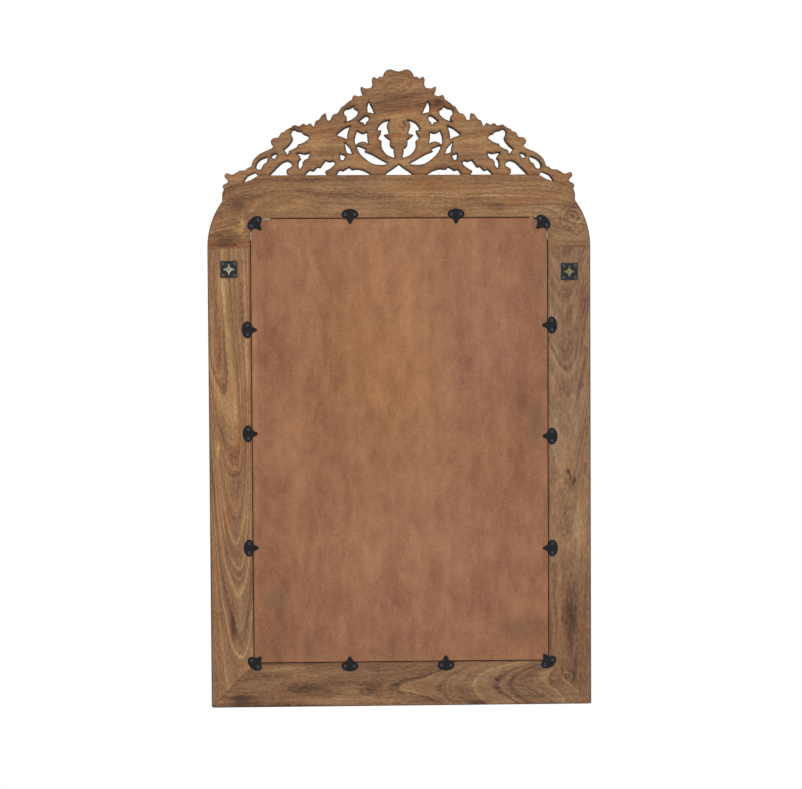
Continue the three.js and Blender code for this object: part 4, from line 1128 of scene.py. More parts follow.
# A board's edges and carved front, one row of points for each station along it. The two sides, inner and
# outer, are matching flat points; lines, where given, places each lengthwise line of points itself
def sweepFront(look, inner, outer, run, lines, flowers, cleanAbove):
    width = np.linalg.norm(outer - inner, axis=1)
    unit = (outer - inner) / width[:, None]
    fieldIn, fieldOut = look["innerBorder"], width - look["outerBorder"]
    half = (fieldOut - fieldIn) / 2
    starts = {
        "out": (width, -1), "field": (fieldOut, fieldIn - fieldOut), "in": (0, 1), "lap": (look["rebate"], 1),
    }
    columns = []
    wearAndPaintedLights = []
    for edge, value, depth, dark in boardProfile(look):
        start, way = starts[edge]
        distance = np.zeros(len(width)) + start + way * value
        flat = lines(distance) if lines else inner + unit * distance[:, None]
        # Each profile point's darkening: darker finish and painted shade
        rub = np.full(len(width), dark)
        if edge == "out" and depth > 0:
            rub = rub * (1 - look["cleanShare"] * soft(cleanAbove - 12, cleanAbove, outer[:, 1]))
        if edge == "field":
            lift = vineCarving(run(flat), distance - (fieldIn + half), half)
            for x, z in flowers:
                dx, dz = flat[:, 0] - x, flat[:, 1] - z
                height, covers = rosette(dx, dz)
                free = flower["radius"] + flower["clearance"]
                lift = lift * soft(free - 3, free, np.hypot(dx, dz))
                lift = np.where(covers, np.maximum(lift, height), lift)
            depth = depth - lift
            # Painted shade with a darker wash on the sunk ground, fading up the carving
            rub = rub + look["groundDark"] * (1 - soft(0.0, look["groundReach"], lift))
        columns.append(upright(flat, depth))
        wearAndPaintedLights.append(rub)
    return np.stack(columns, axis=1), np.stack(wearAndPaintedLights, axis=1)


# One frame board: the sweep, its two ends, and a back face with bores. A bore is x, z, sides and its rings
# from the face down: radius, depth, painted shade in the hole, and the finish of what leads to it
def sweepBoard(node, wood, look, inner, outer, run, lines=None, bores=(), flowers=(), cleanAbove=1e9):
    sweep, sweepWearAndPaintedLight = sweepFront(look, inner, outer, run, lines, flowers, cleanAbove)
    stations, count = sweepWearAndPaintedLight.shape
    points = [sweep.reshape(-1, 3)]
    wearAndPaintedLights = [sweepWearAndPaintedLight.reshape(-1)]
    made = stations * count
    faces = []
    for a in range(0, made - count, count):
        faces += [(a + k, a + k + 1, a + count + k + 1, a + count + k) for k in range(count - 1)]
    faces += [tuple(range(count)), tuple(range(made - count, made))]
    slots = [0] * len(faces)
    starts = np.arange(0, made, count)
    rim = np.concatenate([starts, starts[::-1] + count - 1])
    loops = [points[0][rim][:, [0, 2]]]
    onBack = [rim]
    for x, z, sides, rings in bores:
        for radius, depth, dark, slot in rings:
            ring = circle(x, z, radius, sides)
            if depth == 0:
                loops.append(ring)
                onBack.append(made + np.arange(sides))
            else:
                faces += band(made - sides, made, sides)
                slots += [slot] * sides
            points.append(upright(ring, look["back"] - depth))
            wearAndPaintedLights.append(np.full(sides, dark))
            made += sides
        faces.append(tuple(range(made - sides, made)))
        slots.append(slot)
    flat, tris, far = flatSkin(loops, edgeTree(loops, 0.6), **look["backSkin"])
    known = sum(len(loop) for loop in loops)
    flat, far = flat[known:], far[known:]
    # A dark line beside the back's edges: dark finish and painted shade
    stainAndShade = look["edgeStain"] * nearEdge(far - 0.7, look["edgeStainReach"]) * (flat[:, 1] < cleanAbove - 6)
    for a, b in ((loops[0][0], loops[0][-1]), (loops[0][stations - 1], loops[0][stations])):
        way = (b - a) / np.linalg.norm(b - a)
        apart = np.abs((flat[:, 0] - a[0]) * way[1] - (flat[:, 1] - a[1]) * way[0])
        stainAndShade = stainAndShade * (0.15 + 0.85 * soft(1.5, 4.0, apart))
    points.append(upright(flat, look["back"]))
    wearAndPaintedLights.append(stainAndShade)
    onBack.append(made + np.arange(len(flat)))
    faces += [tuple(t) for t in np.concatenate(onBack)[tris]]
    slots += [0] * len(tris)
    points = np.concatenate(points)
    roundFeet(points, look)
    bored = finishes["boredLeft" if node.startswith("left") else "boredRight"]
    piece = makePiece(node + "_board", points, faces, [woods[wood], bored], slots, crease=36.0,
                      rub=np.concatenate(wearAndPaintedLights), rings=ringField(boardFigures[wood], points))
    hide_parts(node)


def roundFeet(points, look):  # draws the frame's two lower corners in to their radius
    r = look["cornerRadius"]
    u, v = np.abs(points[:, 0]) - (look["halfWidth"] - r), r - points[:, 2]
    pull = np.where((u > 0) & (v > 0), np.maximum(u, v) / np.maximum(np.hypot(u, v), 1e-6) - 1, 0.0)
    points[:, 0] += np.sign(points[:, 0]) * u * pull
    points[:, 2] -= v * pull


# Keyhole plates' places and every bore in the back; a bore's rings are radius, depth, painted shade and
# finish
hardware = {
    "hangerX": 406.4, "rightHangerZ": 1050.8, "leftHangerZ": 1041.8, "hangerScrew": 14.0, "clipScrew": 11.0,
    "bore": (10, [(1.6, 0.0, 0.3, 0), (1.6, 11.2, 0.6, 0)]),
    "pocket": (40, [(14.5, 0.0, 0.3, 1), (14.5, 11.0, 0.0, 1), (1.2, 11.0, 1.0, 1), (1.2, 19.0, 1.0, 0)]),
# The pilot hole's rings are darkened fully: painted shade
}


def findClips():  # each clip's middle between its screws, and the way that its screw line runs
    places = {}
    for clip in [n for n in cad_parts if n.startswith("clip_") and "screw" not in n]:
        first, second = [sum(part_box(clip + end), Vector()) / 2 / mm for end in ("_screw_a", "_screw_b")]
        places[clip] = ((first + second) / 2, math.atan2(first.z - second.z, second.x - first.x))
    return places


clipPlaces = findClips()


def clipBores(test):
    bores = []
    for middle, turn in clipPlaces.values():
        for side in (-hardware["clipScrew"], hardware["clipScrew"]):
            x, z = middle.x + side * math.cos(turn), middle.z - side * math.sin(turn)
            if test(x, z):
                bores.append((x, z, *hardware["bore"]))
    return bores


def hangerBores(x, z):
    reach = hardware["hangerScrew"]
    around = [(x + dx, z + dz, *hardware["bore"]) for dx in (-reach, reach) for dz in (-reach, reach)]
    return [(x, z, *hardware["pocket"]), *around]


def buildStiles(look):
    half, window = look["halfWidth"], look["windowHalf"]
    joint, base, seam = look["jointHeight"], look["windowBottom"], look["seam"]
    mitre = base / (half - window)
    count = int((joint - base) / look["step"])
    upwards = np.linspace(0, 1, count)
    for node, side, wood, hangerZ in (("right_stile", 1, "rightStile", hardware["rightHangerZ"]),
                                      ("left_stile", -1, "leftStile", hardware["leftHangerZ"])):
        def lines(distance):
            foot = base - distance * mitre + seam
            return np.stack([side * (window + distance), foot + (joint - seam - foot) * upwards], axis=1)

        def inBoard(x, z):
            return side * x > window and base - (side * x - window) * mitre < z < joint

        inner, outer = lines(np.zeros(count)), lines(np.full(count, half - window))
        outer[:, 1] = inner[:, 1]
        bores = hangerBores(side * hardware["hangerX"], hangerZ) + clipBores(inBoard)
        flowers = [(side * (window + look["cornerFlower"]), base - look["cornerFlower"] * mitre)]
        sweepBoard(node, wood, look, inner, outer, lambda flat: flat[:, 1], lines, bores, flowers)


def buildBottomRail(look):
    half, window = look["halfWidth"], look["windowHalf"]
    joint, base = look["jointHeight"], look["windowBottom"]
    mitre = base / (half - window)
    count = int(2 * half / look["step"])
    sideways = np.linspace(-1, 1, count)

    def lines(distance):
        return np.stack([(look["seam"] - window - distance / mitre) * sideways, base - distance], axis=1)

    inner, outer = lines(np.zeros(count)), lines(np.full(count, base))
    outer[:, 0] = inner[:, 0]
    bores = clipBores(lambda x, z: z < base - max(0.0, abs(x) - window) * mitre)
    x, z = window + look["cornerFlower"], base - look["cornerFlower"] * mitre
    flowers = [(x, z), (-x, z), (0.0, base - look["footFlower"])]
    sweepBoard("bottom_rail", "bottomRail", look, inner, outer, lambda flat: joint - np.abs(flat[:, 0]),
               lines, bores, flowers)


# The top rail's outer edge, from the joint up over the shoulder and along its top to the middle
def shoulderCurve(look):
    start = np.array([look["halfWidth"], look["jointHeight"]])
    pull, end = np.array(shoulder["pull"]), np.array(shoulder["end"])
    t = np.linspace(0, 1, 40)[:, None]
    curve = (1 - t) ** 2 * start + 2 * t * (1 - t) * pull + t ** 2 * end
    bulge = smoothPath([shoulder["end"], shoulder["bulge"], railEdge[0]], 8)[1:]
    return np.concatenate([curve, bulge, smoothPath(railEdge, 8)[1:], [railTop]])


def castOut(outline, origin, way):  # where a line from the window's edge meets the outline
    starts, spans = outline[:-1] - origin, np.diff(outline, axis=0)
    cross = way[0] * spans[:, 1] - way[1] * spans[:, 0]
    cross[np.abs(cross) < 1e-9] = np.nan
    t = (starts[:, 0] * spans[:, 1] - starts[:, 1] * spans[:, 0]) / cross
    u = (starts[:, 0] * way[1] - starts[:, 1] * way[0]) / cross
    return origin + way * t[(t > 1) & (u >= -1e-6) & (u <= 1 + 1e-6)].min()


def buildTopRail(look):
    window, top, radius, step = look["windowHalf"], look["windowTop"], look["windowRadius"], look["step"]
    joint = look["jointHeight"]
    x, z, low = window - radius, top - radius, joint + look["seam"]
    quarter = int(0.5 * math.pi * look["turnRadius"] / step)
    rays = [((window, up), (1.0, 0.0)) for up in np.linspace(low, z, int((z - low) / step))]
    for a in np.linspace(0, math.pi / 2, quarter + 1)[1:]:
        way = (math.cos(a), math.sin(a))
        rays.append(((x + radius * way[0], z + radius * way[1]), way))
    rays += [((right, top), (0.0, 1.0)) for right in np.linspace(x, 0, int(x / step))[1:]]
    outline = shoulderCurve(look)
    inner = np.array([origin for origin, _ in rays])
    outer = np.array([castOut(outline, np.array(origin), np.array(way)) for origin, way in rays])
    inner, outer = [np.concatenate([side, (side[:-1] * (-1, 1))[::-1]]) for side in (inner, outer)]
    steps = np.linalg.norm(np.diff((inner + outer) / 2, axis=0), axis=1)
    travelled = np.concatenate([[0], np.cumsum(steps)])
    travelled = joint + np.minimum(travelled, travelled[-1] - travelled)
    sweepBoard("top_rail", "topRail", look, inner, outer, lambda flat: travelled, None,
               clipBores(lambda x, z: z > joint), [(0.0, top + look["topFlower"])], look["cleanAbove"])


buildStiles(frameShape)
buildBottomRail(frameShape)
buildTopRail(frameShape)
print("frame boards built")

# Crest. Strokes are shares of its half width and of its height above the foot, for one half, with a level
crestShape = {
    "back": 19.0, "front": -13.0, "half": 420.0, "foot": 1274.0, "tall": 250.0, "step": 2.3,
    "backRounding": 1.2, "edgeDrop": 4.6, "edgeReach": 6.5, "edgeStain": 4.6, "edgeDark": 1.1,
    "narrower": 0.6, "narrowFrom": 1275.0, "outlineAbove": 1312.0, "outlineBeyond": 340.0,
    "grooveDepth": 2.0, "grooveHalf": 1.7, "veinDepth": 1.3, "veinPitch": 7.4, "creaseDepth": 2.2,
    # where each cut fades in from the edge, and from its own stroke
    "grooveIn": (0.5, 3.5), "veinIn": (0.6, 2.6), "creaseIn": (1.0, 3.0), "levelIn": (0.5, 4.0),
    "veinOff": (2.0, 4.5), "creaseOff": (2.5, 5.0), "swellOff": (0.0, 14.0),
    "frontSkin": {
        "rows": (0.7, 1.7, 3.2, 5.0), "rowStep": 2.3, "gridStep": 2.3, "gridFrom": 6.035, "gap": 0.966,
    },
    "backSkin": {"rows": (0.4, 1.2, 2.4), "rowStep": 2.3, "gridStep": 4.0, "gridFrom": 4.2, "gap": 0.966},
}
crestStrokes = [
    ([(0.0, 0.12), (0.0, 0.4), (0.0, 0.62)], 0.0),
    ([(0.0, 0.62), (0.0, 0.8), (0.0, 0.98)], 0.0),
    ([(0.028, 0.62), (0.055, 0.78), (0.075, 0.98)], 1.0),
    ([(0.05, 0.60), (0.10, 0.75), (0.142, 0.93)], 0.0),
    ([(0.075, 0.57), (0.14, 0.72), (0.213, 0.83)], 1.2),
    ([(0.16, 0.72), (0.21, 0.735), (0.262, 0.75)], 2.2),
    ([(0.19, 0.54), (0.21, 0.62), (0.24, 0.68), (0.31, 0.645)], 1.4),
    ([(0.02, 0.13), (0.085, 0.165), (0.128, 0.26), (0.145, 0.38), (0.135, 0.48), (0.10, 0.56)], 0.0),
    ([(0.02, 0.10), (0.075, 0.065), (0.15, 0.075), (0.215, 0.125), (0.262, 0.22), (0.272, 0.34),
      (0.255, 0.45), (0.20, 0.505)], 0.6),
    ([(0.17, 0.07), (0.25, 0.085), (0.32, 0.08), (0.375, 0.045), (0.40, 0.01)], 1.2),
    ([(0.24, 0.48), (0.31, 0.49), (0.345, 0.575)], 0.4),
    ([(0.30, 0.46), (0.37, 0.47), (0.415, 0.575)], 1.2),
    ([(0.31, 0.33), (0.38, 0.40), (0.455, 0.515)], 0.0),
    ([(0.31, 0.26), (0.40, 0.33), (0.47, 0.42), (0.545, 0.475), (0.60, 0.46), (0.655, 0.40),
      (0.70, 0.315)], 0.8),
    ([(0.30, 0.19), (0.38, 0.245), (0.48, 0.30), (0.53, 0.285)], 0.0),
    ([(0.34, 0.13), (0.41, 0.19), (0.50, 0.245), (0.575, 0.245), (0.625, 0.205)], 1.2),
    ([(0.40, 0.17), (0.455, 0.145), (0.50, 0.10), (0.535, 0.04), (0.57, 0.005)], 0.5),
    ([(0.605, 0.01), (0.585, 0.08), (0.59, 0.16), (0.64, 0.19), (0.70, 0.235), (0.77, 0.205), (0.815, 0.14),
      (0.835, 0.07)], 0.0),
    ([(0.645, 0.155), (0.69, 0.135), (0.73, 0.085), (0.765, 0.02)], 0.9),
    ([(0.735, 0.20), (0.733, 0.14), (0.755, 0.085), (0.785, 0.03)], 0.3),
    ([(0.66, 0.27), (0.64, 0.33), (0.66, 0.385)], 1.4),
    ([(0.80, 0.035), (0.87, 0.025), (0.93, -0.01), (0.985, 0.005)], 0.4),
    ([(0.88, 0.0), (0.93, -0.045), (0.99, -0.115)], 1.1),
    ([(0.50, 0.20), (0.53, 0.17)], 1.0),
]


# The crest's outline and openings, read from the back face of the solid that it stands for
def crestLoops():
    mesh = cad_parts["crest"].data
    back = max(v.co.y for v in mesh.vertices)
    edges = {}
    for polygon in mesh.polygons:
        corners = [mesh.vertices[i].co for i in polygon.vertices]
        if all(abs(c.y - back) < 1e-5 for c in corners):
            keys = [(round(c.x / mm, 3), round(c.z / mm, 3)) for c in corners]
            edges.update(dict.fromkeys(zip(keys, keys[1:] + keys[:1])))
    follow = {}
    for a, b in edges:
        if (b, a) not in edges:
            follow.setdefault(a, []).append(b)
    loops = []
    while follow:
        loop = [next(iter(follow))]
        while True:
            here = loop[-1]
            ahead = follow[here].pop()
            if not follow[here]:
                del follow[here]
            if ahead == loop[0]:
                break
            loop.append(ahead)
        loops.append(np.array(loop))
    return sorted(loops, key=lambda loop: -abs(turnArea(loop)))


# Rounds a loop's shallow corners and keeps its sharp ones, then evens out the points
def easeLoop(loop, step, sharp=38.0, closest=0.05):
    loop = np.array([p for i, p in enumerate(loop) if np.linalg.norm(p - loop[i - 1]) > closest])
    ahead, behind = np.roll(loop, -1, axis=0) - loop, loop - np.roll(loop, 1, axis=0)
    cross = behind[:, 0] * ahead[:, 1] - behind[:, 1] * ahead[:, 0]
    corner = np.abs(np.degrees(np.arctan2(cross, (behind * ahead).sum(axis=1)))) > sharp
    result = []
    count = len(loop)
    for i in range(count):
        after = (i + 1) % count
        p0, p1, p2, p3 = loop[i - 1], loop[i], loop[after], loop[(i + 2) % count]
        if corner[i]:
            p0 = 2 * p1 - p2
        if corner[after]:
            p3 = 2 * p2 - p1
        pieces = max(1, int(round(np.linalg.norm(p2 - p1) / step)))
        result += [curvePoint(p0, p1, p2, p3, t) for t in np.arange(pieces) / pieces]
    return np.array(result)


def onOutline(points):  # the crest's outer edge, without the openings that stand on the rail
    return (points[:, 1] > crestShape["outlineAbove"]) | (np.abs(points[:, 0]) > crestShape["outlineBeyond"])


# Draws a loop's edge into the openings, whose burnt and shaded edges make them look narrower
def narrowOpenings(loop, look, isHole):
    along = np.roll(loop, -1, axis=0) - np.roll(loop, 1, axis=0)
    across = np.stack([along[:, 1], -along[:, 0]], axis=1) / np.linalg.norm(along, axis=1)[:, None]
    apart = np.linalg.norm(loop[:, None] - loop[None], axis=2)
    order = np.arange(len(loop))
    away = np.abs(order[:, None] - order[None])
    apart[np.minimum(away, len(loop) - away) < 2] = 1e9  # a point's own neighbours don't count
    share = look["narrower"] * soft(1.6, 4.0, apart.min(axis=1))
    if not isHole:
        share = share * soft(look["narrowFrom"], look["narrowFrom"] + 4, loop[:, 1]) * ~onOutline(loop)
    return loop + across * share[:, None]


# How far the carving sinks, and its painted shade in grooves, veins, creases, lower levels and at the edges.
# Each point follows its nearest stroke, and the crease between two leaves runs where the two nearest strokes
# are equally far
def crestCarving(points, depth, strokes, look):
    half = np.abs(points)
    first, second = np.full((2, len(points)), 1e9)
    run, level, otherLevel = np.zeros((3, len(points)))
    for spine, tier in strokes:
        far, along, _ = alongPath(spine, half)
        closer = far < first
        second = np.where(closer, first, np.minimum(second, far))
        otherLevel = np.where(closer, level, np.where(far <= second, tier, otherLevel))
        level = np.where(closer, tier, level)
        run = np.where(closer, along, run)
        first = np.where(closer, far, first)
    apart = second - first
    own = 0.5 + 0.5 * soft(0.0, 2.5, apart)
    tier = own * level + (1 - own) * otherLevel
    groove = look["grooveDepth"] * np.exp(-(first / look["grooveHalf"]) ** 2) * soft(*look["grooveIn"], depth)
    phase = (run - 0.95 * first) / look["veinPitch"]
    vein = look["veinDepth"] * (0.5 + 0.5 * np.cos(2 * math.pi * phase)) ** 2.2
    vein = vein * soft(*look["veinOff"], first) * soft(*look["veinIn"], depth) * soft(0.0, 3.0, apart)
    crease = look["creaseDepth"] * (1 - soft(0.0, 2.6, apart))
    crease = crease * soft(*look["creaseOff"], first) * soft(*look["creaseIn"], depth)
    sunk = roundOver(depth, look["edgeReach"], look["edgeDrop"]) + groove + vein + crease
    sunk = sunk + tier * soft(*look["levelIn"], depth) + soft(*look["swellOff"], first)
    # Painted shade: darker in the grooves, veins, creases and lower levels, and at the rounded edges
    dark = np.clip(0.16 * (groove + vein + crease) + 0.10 * tier, 0, 0.8)
    return sunk, dark + 0.3 * nearEdge(depth, look["edgeReach"]) ** 3


def buildCrest(look):
    loops = [easeLoop(loop, look["step"]) for loop in crestLoops()]
    loops = [l if (turnArea(l) > 0) == (i == 0) else l[::-1] for i, l in enumerate(loops)]
    loops = [narrowOpenings(l, look, i > 0) for i, l in enumerate(loops)]
    rim = sum(len(l) for l in loops)
    print("  crest loops:", len(loops), "rim points:", rim)
    strokes = []
    for path, level in crestStrokes:
        spine = [(look["half"] * x, look["foot"] + look["tall"] * z) for x, z in path]
        strokes.append((smoothPath(spine, 7), level))
    tree = edgeTree(loops)
    flat, tris, depth = flatSkin(loops, tree, **look["frontSkin"])
    sunk, dark = crestCarving(flat, depth, strokes, look)
    front = (flat, tris, look["front"] + sunk, dark)
    flat, tris, depth = flatSkin(loops, tree, **look["backSkin"])
    y = look["back"] - roundOver(depth, look["backRounding"], look["backRounding"])
    seam = alongPath(np.array([*railEdge, railTop]), np.abs(flat))[0]
    # Burnt edges and painted shade: the back darkens near its edges, most round the openings
    burntAndShaded = look["edgeDark"] * nearEdge(depth, look["edgeStain"]) ** 1.15 * soft(0.4, 3.0, seam)
    outline = edgeTree(loops[:1], 0.6, onOutline)
    burntAndShaded = burntAndShaded * (0.55 + 0.45 * soft(0.0, 2.0, edgeDistance(outline, flat) - depth))
    points, faces, rub = joinSkins(loops, front, (flat, tris, y, burntAndShaded))
    slots = [0] * (len(faces) - rim) + [1] * rim
    piece = makePiece("crest_carving", points, faces, [woods["crest"], finishes["sawn"]], slots, crease=40.0,
                      rub=rub, rings=ringField(boardFigures["crest"], points))
    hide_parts("crest")


buildCrest(crestShape)
print("crest carved")

# Mirror glass with a ground bevel, and the backing board
glassShape = {
    "half": 354.1, "bottom": 107.5, "top": 1170.5, "radius": 42.5, "front": 8.3, "back": 13.3,
    "bevel": 24.0, "bevelDrop": 1.3,
}
boardShape = {
    "half": 353.6, "bottom": 108.0, "top": 1170.0, "radius": 42.0, "front": 13.6, "back": 17.6,
    "rounding": 0.5,
}


# An upright sheet's outline with round upper corners, drawn in by an inset
def sheetLoop(look, inset=0.0, steps=12):
    half, bottom, top = look["half"] - inset, look["bottom"] + inset, look["top"] - inset
    radius = max(look["radius"] - inset, 0.5)
    points = [(-half, bottom), (half, bottom)]
    for x, start in ((half - radius, 0), (radius - half, math.pi / 2)):
        for a in np.linspace(start, start + math.pi / 2, steps):
            points.append((x + radius * math.cos(a), top - radius + radius * math.sin(a)))
    return np.array(points)


# A solid of matching rings, each at its own depth, closed at both ends; coats are the materials of the
# front, the back and then each band between two rings
def layeredSheet(name, layers, materials, coats):
    count = len(layers[0][0])
    last = count * (len(layers) - 1)
    points = np.concatenate([upright(loop, y) for loop, y in layers])
    faces = [tuple(range(count)), tuple(range(last, last + count))]
    for start in range(0, last, count):
        faces += band(start, start + count, count)
    slots = coats[:2] + [coat for coat in coats[2:] for _ in range(count)]
    return makePiece(name, points, faces, materials, slots, crease=2.0)


def buildSheets():
    look = glassShape
    slope = look["front"] + look["bevelDrop"]
    rings = [
        (sheetLoop(look, look["bevel"]), look["front"]),
        (sheetLoop(look, 0.6), slope),
        (sheetLoop(look), slope + 0.5),
        (sheetLoop(look), look["back"]),
    ]
    glass = layeredSheet("bevelled_glass", rings, [finishes["glass"], finishes["glassBack"]], [0, 1, 0, 0, 1])
    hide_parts("mirror_glass")
    look = boardShape
    r = look["rounding"]
    rings = [
        (sheetLoop(look, r), look["front"]),
        (sheetLoop(look), look["front"] + r),
        (sheetLoop(look), look["back"] - r),
        (sheetLoop(look, r * 0.3), look["back"] - r * 0.3),
        (sheetLoop(look, r), look["back"]),
    ]
    board = layeredSheet("stained_backing", rings, [finishes["board"]], [0] * 6)
    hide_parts("backing_board")


buildSheets()
print("glass and backing board built")

# Pale paste pressed into the gap at the board's upper corners, on both sides of each corner clip
pasteShape = {
    "centre": (311.6, 1128.0), "radius": 43.0, "low": 17.5, "high": 18.9, "step": 1.0, "sides": 10,
    "drift": 0.7, "endShare": 0.05, "lumps": [(0.24, 0.9, 1), (0.26, 0.37, 2)],  # height, pace, start
    "runs": [  # piece, side, where it starts and ends round the corner in degrees, half width
        ("corner_paste_right_1", 1, -12.0, 18.0, 1.8), ("corner_paste_right_2", 1, 64.0, 98.0, 2.3),
        ("corner_paste_left_1", -1, -14.0, 15.0, 2.1), ("corner_paste_left_2", -1, 79.0, 90.0, 1.2),
    ],
}


def buildPaste(look):
    sides = look["sides"]
    middleX, middleZ = look["centre"]
    for name, side, start, end, half in look["runs"]:
        count = int(math.radians(end - start) * look["radius"] / look["step"])
        points = []
        for i in range(count + 1):
            swell = math.sin(math.pi * i / count) ** 0.35 if 0 < i < count else look["endShare"]
            lump = 1 + sum(high * math.sin(i * pace + first * start) for high, pace, first in look["lumps"])
            reach = look["radius"] + look["drift"] * math.sin(i * 0.55 + start)
            rise = (look["high"] - look["low"]) / 2 * min(1.0, 0.45 + 0.5 * swell * lump)
            a = math.radians(start + (end - start) * i / count)
            for k in range(sides):
                t = 2 * math.pi * k / sides
                r = reach + half * swell * lump * math.cos(t)
                y = look["low"] + rise + rise * math.sin(t) * (1 + 0.15 * math.sin(3.1 * i + 2 * k))
                points.append((side * (middleX + r * math.cos(a)), y, middleZ + r * math.sin(a)))
        faces = [tuple(range(sides)), tuple(range(count * sides, (count + 1) * sides))]
        for first in range(0, count * sides, sides):
            faces += band(first, first + sides, sides)
        piece = makePiece(name, points, faces, [finishes["paste"]], crease=80.0)


buildPaste(pasteShape)
print("corner paste pressed in")

# Clips. The outline's points are shares of half length and of tongue reach, from the wide end to the tip
clipShape = {
    "halfLength": 20.2, "backReach": 13.4, "tongueReach": 22.4, "top": 20.9, "thickness": 1.6,
    "tongueDrop": 1.4, "stepStart": 8.6, "stepEnd": 12.6, "rounding": 0.55, "burr": 0.15, "hole": 1.9,
    "dish": 0.25, "spacing": 1.3,
    "outline": [
        (0.98, -0.1), (0.9, -0.24), (0.77, -0.33), (0.6, -0.39), (0.46, -0.46), (0.36, -0.56), (0.28, -0.69),
        (0.2, -0.87), (0.13, -0.96), (0.0, -1.0),
    ],
    "skin": {"rows": (0.25, 0.55, 1.6), "rowStep": 1.2, "gridStep": 1.9, "gridFrom": 2.4, "gap": 0.45},
}


def clipLoop(look):
    long, back, tongue = look["halfLength"], look["backReach"], look["tongueReach"]
    arc = [(long * math.cos(a), back * math.sin(a)) for a in np.linspace(math.pi / 2, 0, 14)]
    side = smoothPath([arc[-1], *[(x * long, z * tongue) for x, z in look["outline"]]], 3)[1:]
    half = np.concatenate([arc, side])
    return np.concatenate([half, (half[1:-1] * (-1, 1))[::-1]])[::-1]


def buildClips(look):
    holes = [circle(x, 0, look["hole"], 16, -1) for x in (-hardware["clipScrew"], hardware["clipScrew"])]
    loops = [resample(clipLoop(look), look["spacing"]), *holes]
    flat, tris, depth = flatSkin(loops, edgeTree(loops, 0.3), **look["skin"])
    r = look["rounding"]
    edge = nearEdge(depth, r)
    bent = look["top"] - look["tongueDrop"] * soft(look["stepStart"], look["stepEnd"], -flat[:, 1])
    under = bent - look["thickness"] + look["burr"] * edge
    over = bent - look["dish"] * (1 - soft(0.5, 6.0, depth)) - roundOver(depth, r, r)
    # Paler worn edges with a painted sheen, most on the top face
    points, faces, rub = joinSkins(loops, (flat, tris, under, 0.2 * edge), (flat, tris, over, 0.9 * edge))
    for name, (middle, turn) in clipPlaces.items():
        spin = Matrix.Translation((middle.x * mm, 0, middle.z * mm)) @ Matrix.Rotation(turn, 4, "Y")
        piece = makePiece(name + "_pressed", points, faces, [finishes["clip"]], crease=50.0,
                          place=spin, rub=rub)
        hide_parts(name)


buildClips(clipShape)
print("clips pressed:", len(clipPlaces))

# Screws: round heads on the clips and flat ones in the plates, with a cross cut in each
screwShape = {
    "head": 3.7, "height": 2.2, "shank": 1.45, "length": 13.0, "point": 3.0, "plateHead": 3.45, "sides": 40,
    "cross": 2.1, "crossWide": 0.62, "crossDeep": 1.2, "clipSeat": 21.2, "plateSeat": 21.3,
    "crownFrom": 0.7, "crownTurn": 1.25, "turnStep": 2.399963, "wornBeyond": 2.5, "wornAbove": 1.9,
}


# A turned solid with a cross cut into its head. The profile is radius and height, from the point up
def turnedScrew(name, profile, look, top, steel):
    sides = look["sides"]
    rings = profile[1:-1]
    points = [upright(circle(0, 0, r, sides), h) for r, h in rings]
    points.append([(0, profile[0][1], 0), (0, profile[-1][1], 0)])
    last = (len(rings) - 1) * sides
    tip = last + sides
    faces = []
    for start in range(0, last, sides):
        faces += band(start, start + sides, sides)
    for start, pole in ((0, tip), (last, tip + 1)):
        faces += [(start + i, start + (i + 1) % sides, pole) for i in range(sides)]
    body = addObject(name + "_blank", solidMesh(name, np.concatenate(points), faces))
    reach, wide = look["cross"], look["crossWide"]
    cross = fourTimes([(wide, -wide), (reach, -wide * 0.8), (reach, wide * 0.8)])
    count = len(cross)
    points = [upright(cross * 1.1, top + 0.6), upright(cross * 0.45, top - look["crossDeep"])]
    faces = band(0, count, count) + [tuple(range(count)), tuple(range(count, 2 * count))]
    driver = addObject(name + "_driver", solidMesh(name + "_driver", np.concatenate(points), faces))
    cut = body.modifiers.new("cross", "BOOLEAN")
    cut.operation = "DIFFERENCE"
    cut.solver = "EXACT"
    cut.object = driver
    bpy.context.view_layer.update()
    shaped = bpy.data.meshes.new_from_object(body.evaluated_get(bpy.context.evaluated_depsgraph_get()))
    shaped.name = name
    for spare in (body, driver):
        bpy.data.objects.remove(spare)
    # A painted highlight ring round the rim of each head
    wearAndPaintedLightShare = []
    for v in shaped.vertices:
        beyond = math.hypot(v.co.x, v.co.z) / mm > look["wornBeyond"]
        wearAndPaintedLightShare.append(float(beyond and v.co.y / mm > top - look["wornAbove"]))
    finishMesh(shaped, [steel], 38.0, rub=wearAndPaintedLightShare)
    return shaped


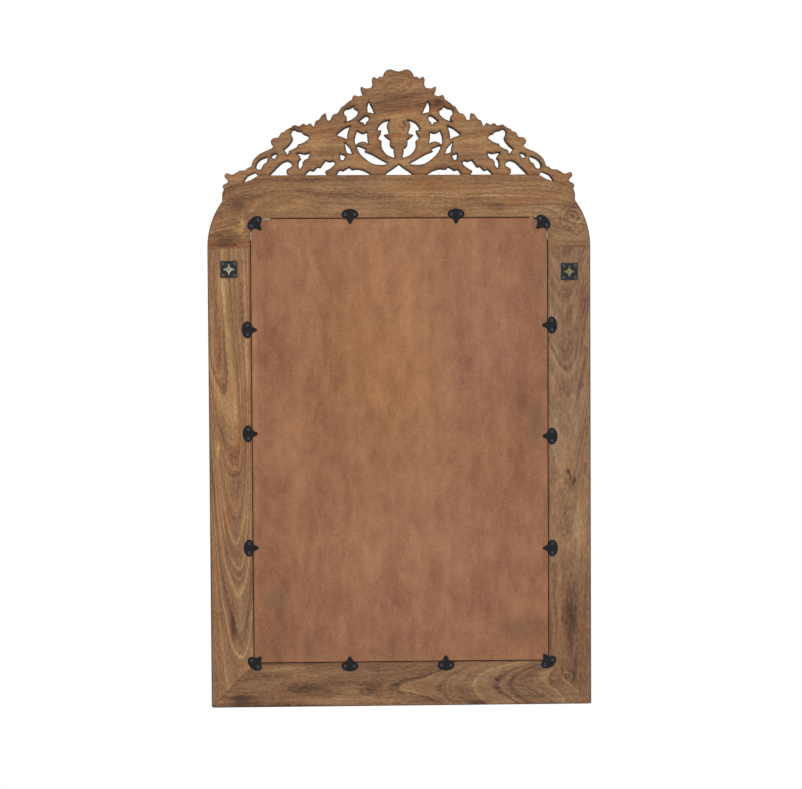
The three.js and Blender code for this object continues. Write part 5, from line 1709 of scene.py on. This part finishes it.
def setScrews(look):
    head, height, shank, length = [look[key] for key in ("head", "height", "shank", "length")]
    flatHead = look["plateHead"]
    point = [(0, -length), (0.25, 0.3 - length), (shank, look["point"] - length)]
    low, turns = look["crownFrom"], np.linspace(0, look["crownTurn"], 6)
    crown = [(head * math.cos(t), low + (height - low) * math.sin(t)) for t in turns]
    pan = [*point, (shank, 0.0), (head - 0.15, 0.0), (head, 0.2), *crown, (0, height)]
    flat = [*point, (shank, -2.0), (flatHead - 0.1, -0.15), (flatHead, 0.0), (flatHead - 0.25, 0.08),
            (1.0, 0.1), (0, 0.1)]
    panMesh = turnedScrew("pan_screw", pan, look, height - 0.1, finishes["screw"])
    flatMesh = turnedScrew("flat_screw", flat, look, 0.1, finishes["plateScrew"])
    screws = [node for node in sorted(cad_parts) if "screw" in node]
    for made, node in enumerate(screws):
        low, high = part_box(node)
        middle = (low + high) / 2
        mesh, seat = (panMesh, "clipSeat") if node.startswith("clip_") else (flatMesh, "plateSeat")
        turned = Matrix.Rotation((made * look["turnStep"]) % (math.pi / 2), 4, "Y")
        place = Matrix.Translation((middle.x, look[seat] * mm, middle.z)) @ turned
        piece = addObject(node + "_turned", mesh, place)
        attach(piece, "root")
        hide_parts(node)
    print("screws set:", len(screws))


setScrews(screwShape)

# Keyhole plates. An arm of the star is in shares of its reach
plateShape = {
    "half": 20.0, "corner": 1.2, "front": 19.3, "back": 21.3, "star": 13.3, "sink": 3.75, "shank": 1.7,
    "rounding": 0.35,
    "arm": [
        (0.33, -0.33), (0.50, -0.20), (0.82, -0.15), (0.95, -0.10), (1.0, 0.0), (0.95, 0.10), (0.82, 0.15),
        (0.50, 0.20),
    ],
    "skin": {"rows": (0.35, 1.2), "rowStep": 1.2, "gap": 0.3},
}


def buildPlates(look):
    middle, corner, reach = look["half"] - look["corner"], look["corner"], hardware["hangerScrew"]
    arc = [math.radians(a) for a in (-90, -60, -30, 0)]
    outline = fourTimes([(middle + corner * math.cos(t), corner * math.sin(t) - middle) for t in arc])
    star = look["star"] * fourTimes(look["arm"])
    edges = [resample(outline, 2.5), resample(star, 1.2)[::-1]]
    screws = [(x, z) for x in (-reach, reach) for z in (-reach, reach)]
    loops = edges + [circle(x, z, look["sink"], 24, -1) for x, z in screws]
    flat, tris, depth = flatSkin(loops, edgeTree(loops, 0.3), **look["skin"])
    r = look["rounding"]
    # Paler worn edges with a painted sheen on the back face
    back = (flat, tris, look["back"] - roundOver(depth, r, r), nearEdge(depth, r))
    # the wood side keeps the same edges, but each screw hole narrows to its shank there
    narrow = edges + [circle(x, z, look["shank"], 24, -1) for x, z in screws]
    flat, tris = fillFlat(narrow, np.zeros((0, 2)))
    points, faces, rub = joinSkins(loops, back, (flat, tris, look["front"], np.zeros(len(flat))))
    for name, x, z in (("hanger_plate_right", hardware["hangerX"], hardware["rightHangerZ"]),
                       ("hanger_plate_left", -hardware["hangerX"], hardware["leftHangerZ"])):
        piece = makePiece(name + "_stamped", points, faces, [finishes["plate"]], crease=40.0,
                          place=Matrix.Translation((x * mm, 0, z * mm)), rub=rub)
        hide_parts(name)


buildPlates(plateShape)
print("keyhole plates stamped")

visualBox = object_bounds()
for words, box in (("cad box", cadBox), ("visual box", visualBox)):
    print(words, [[round(v, 4) for v in corner] for corner in box])
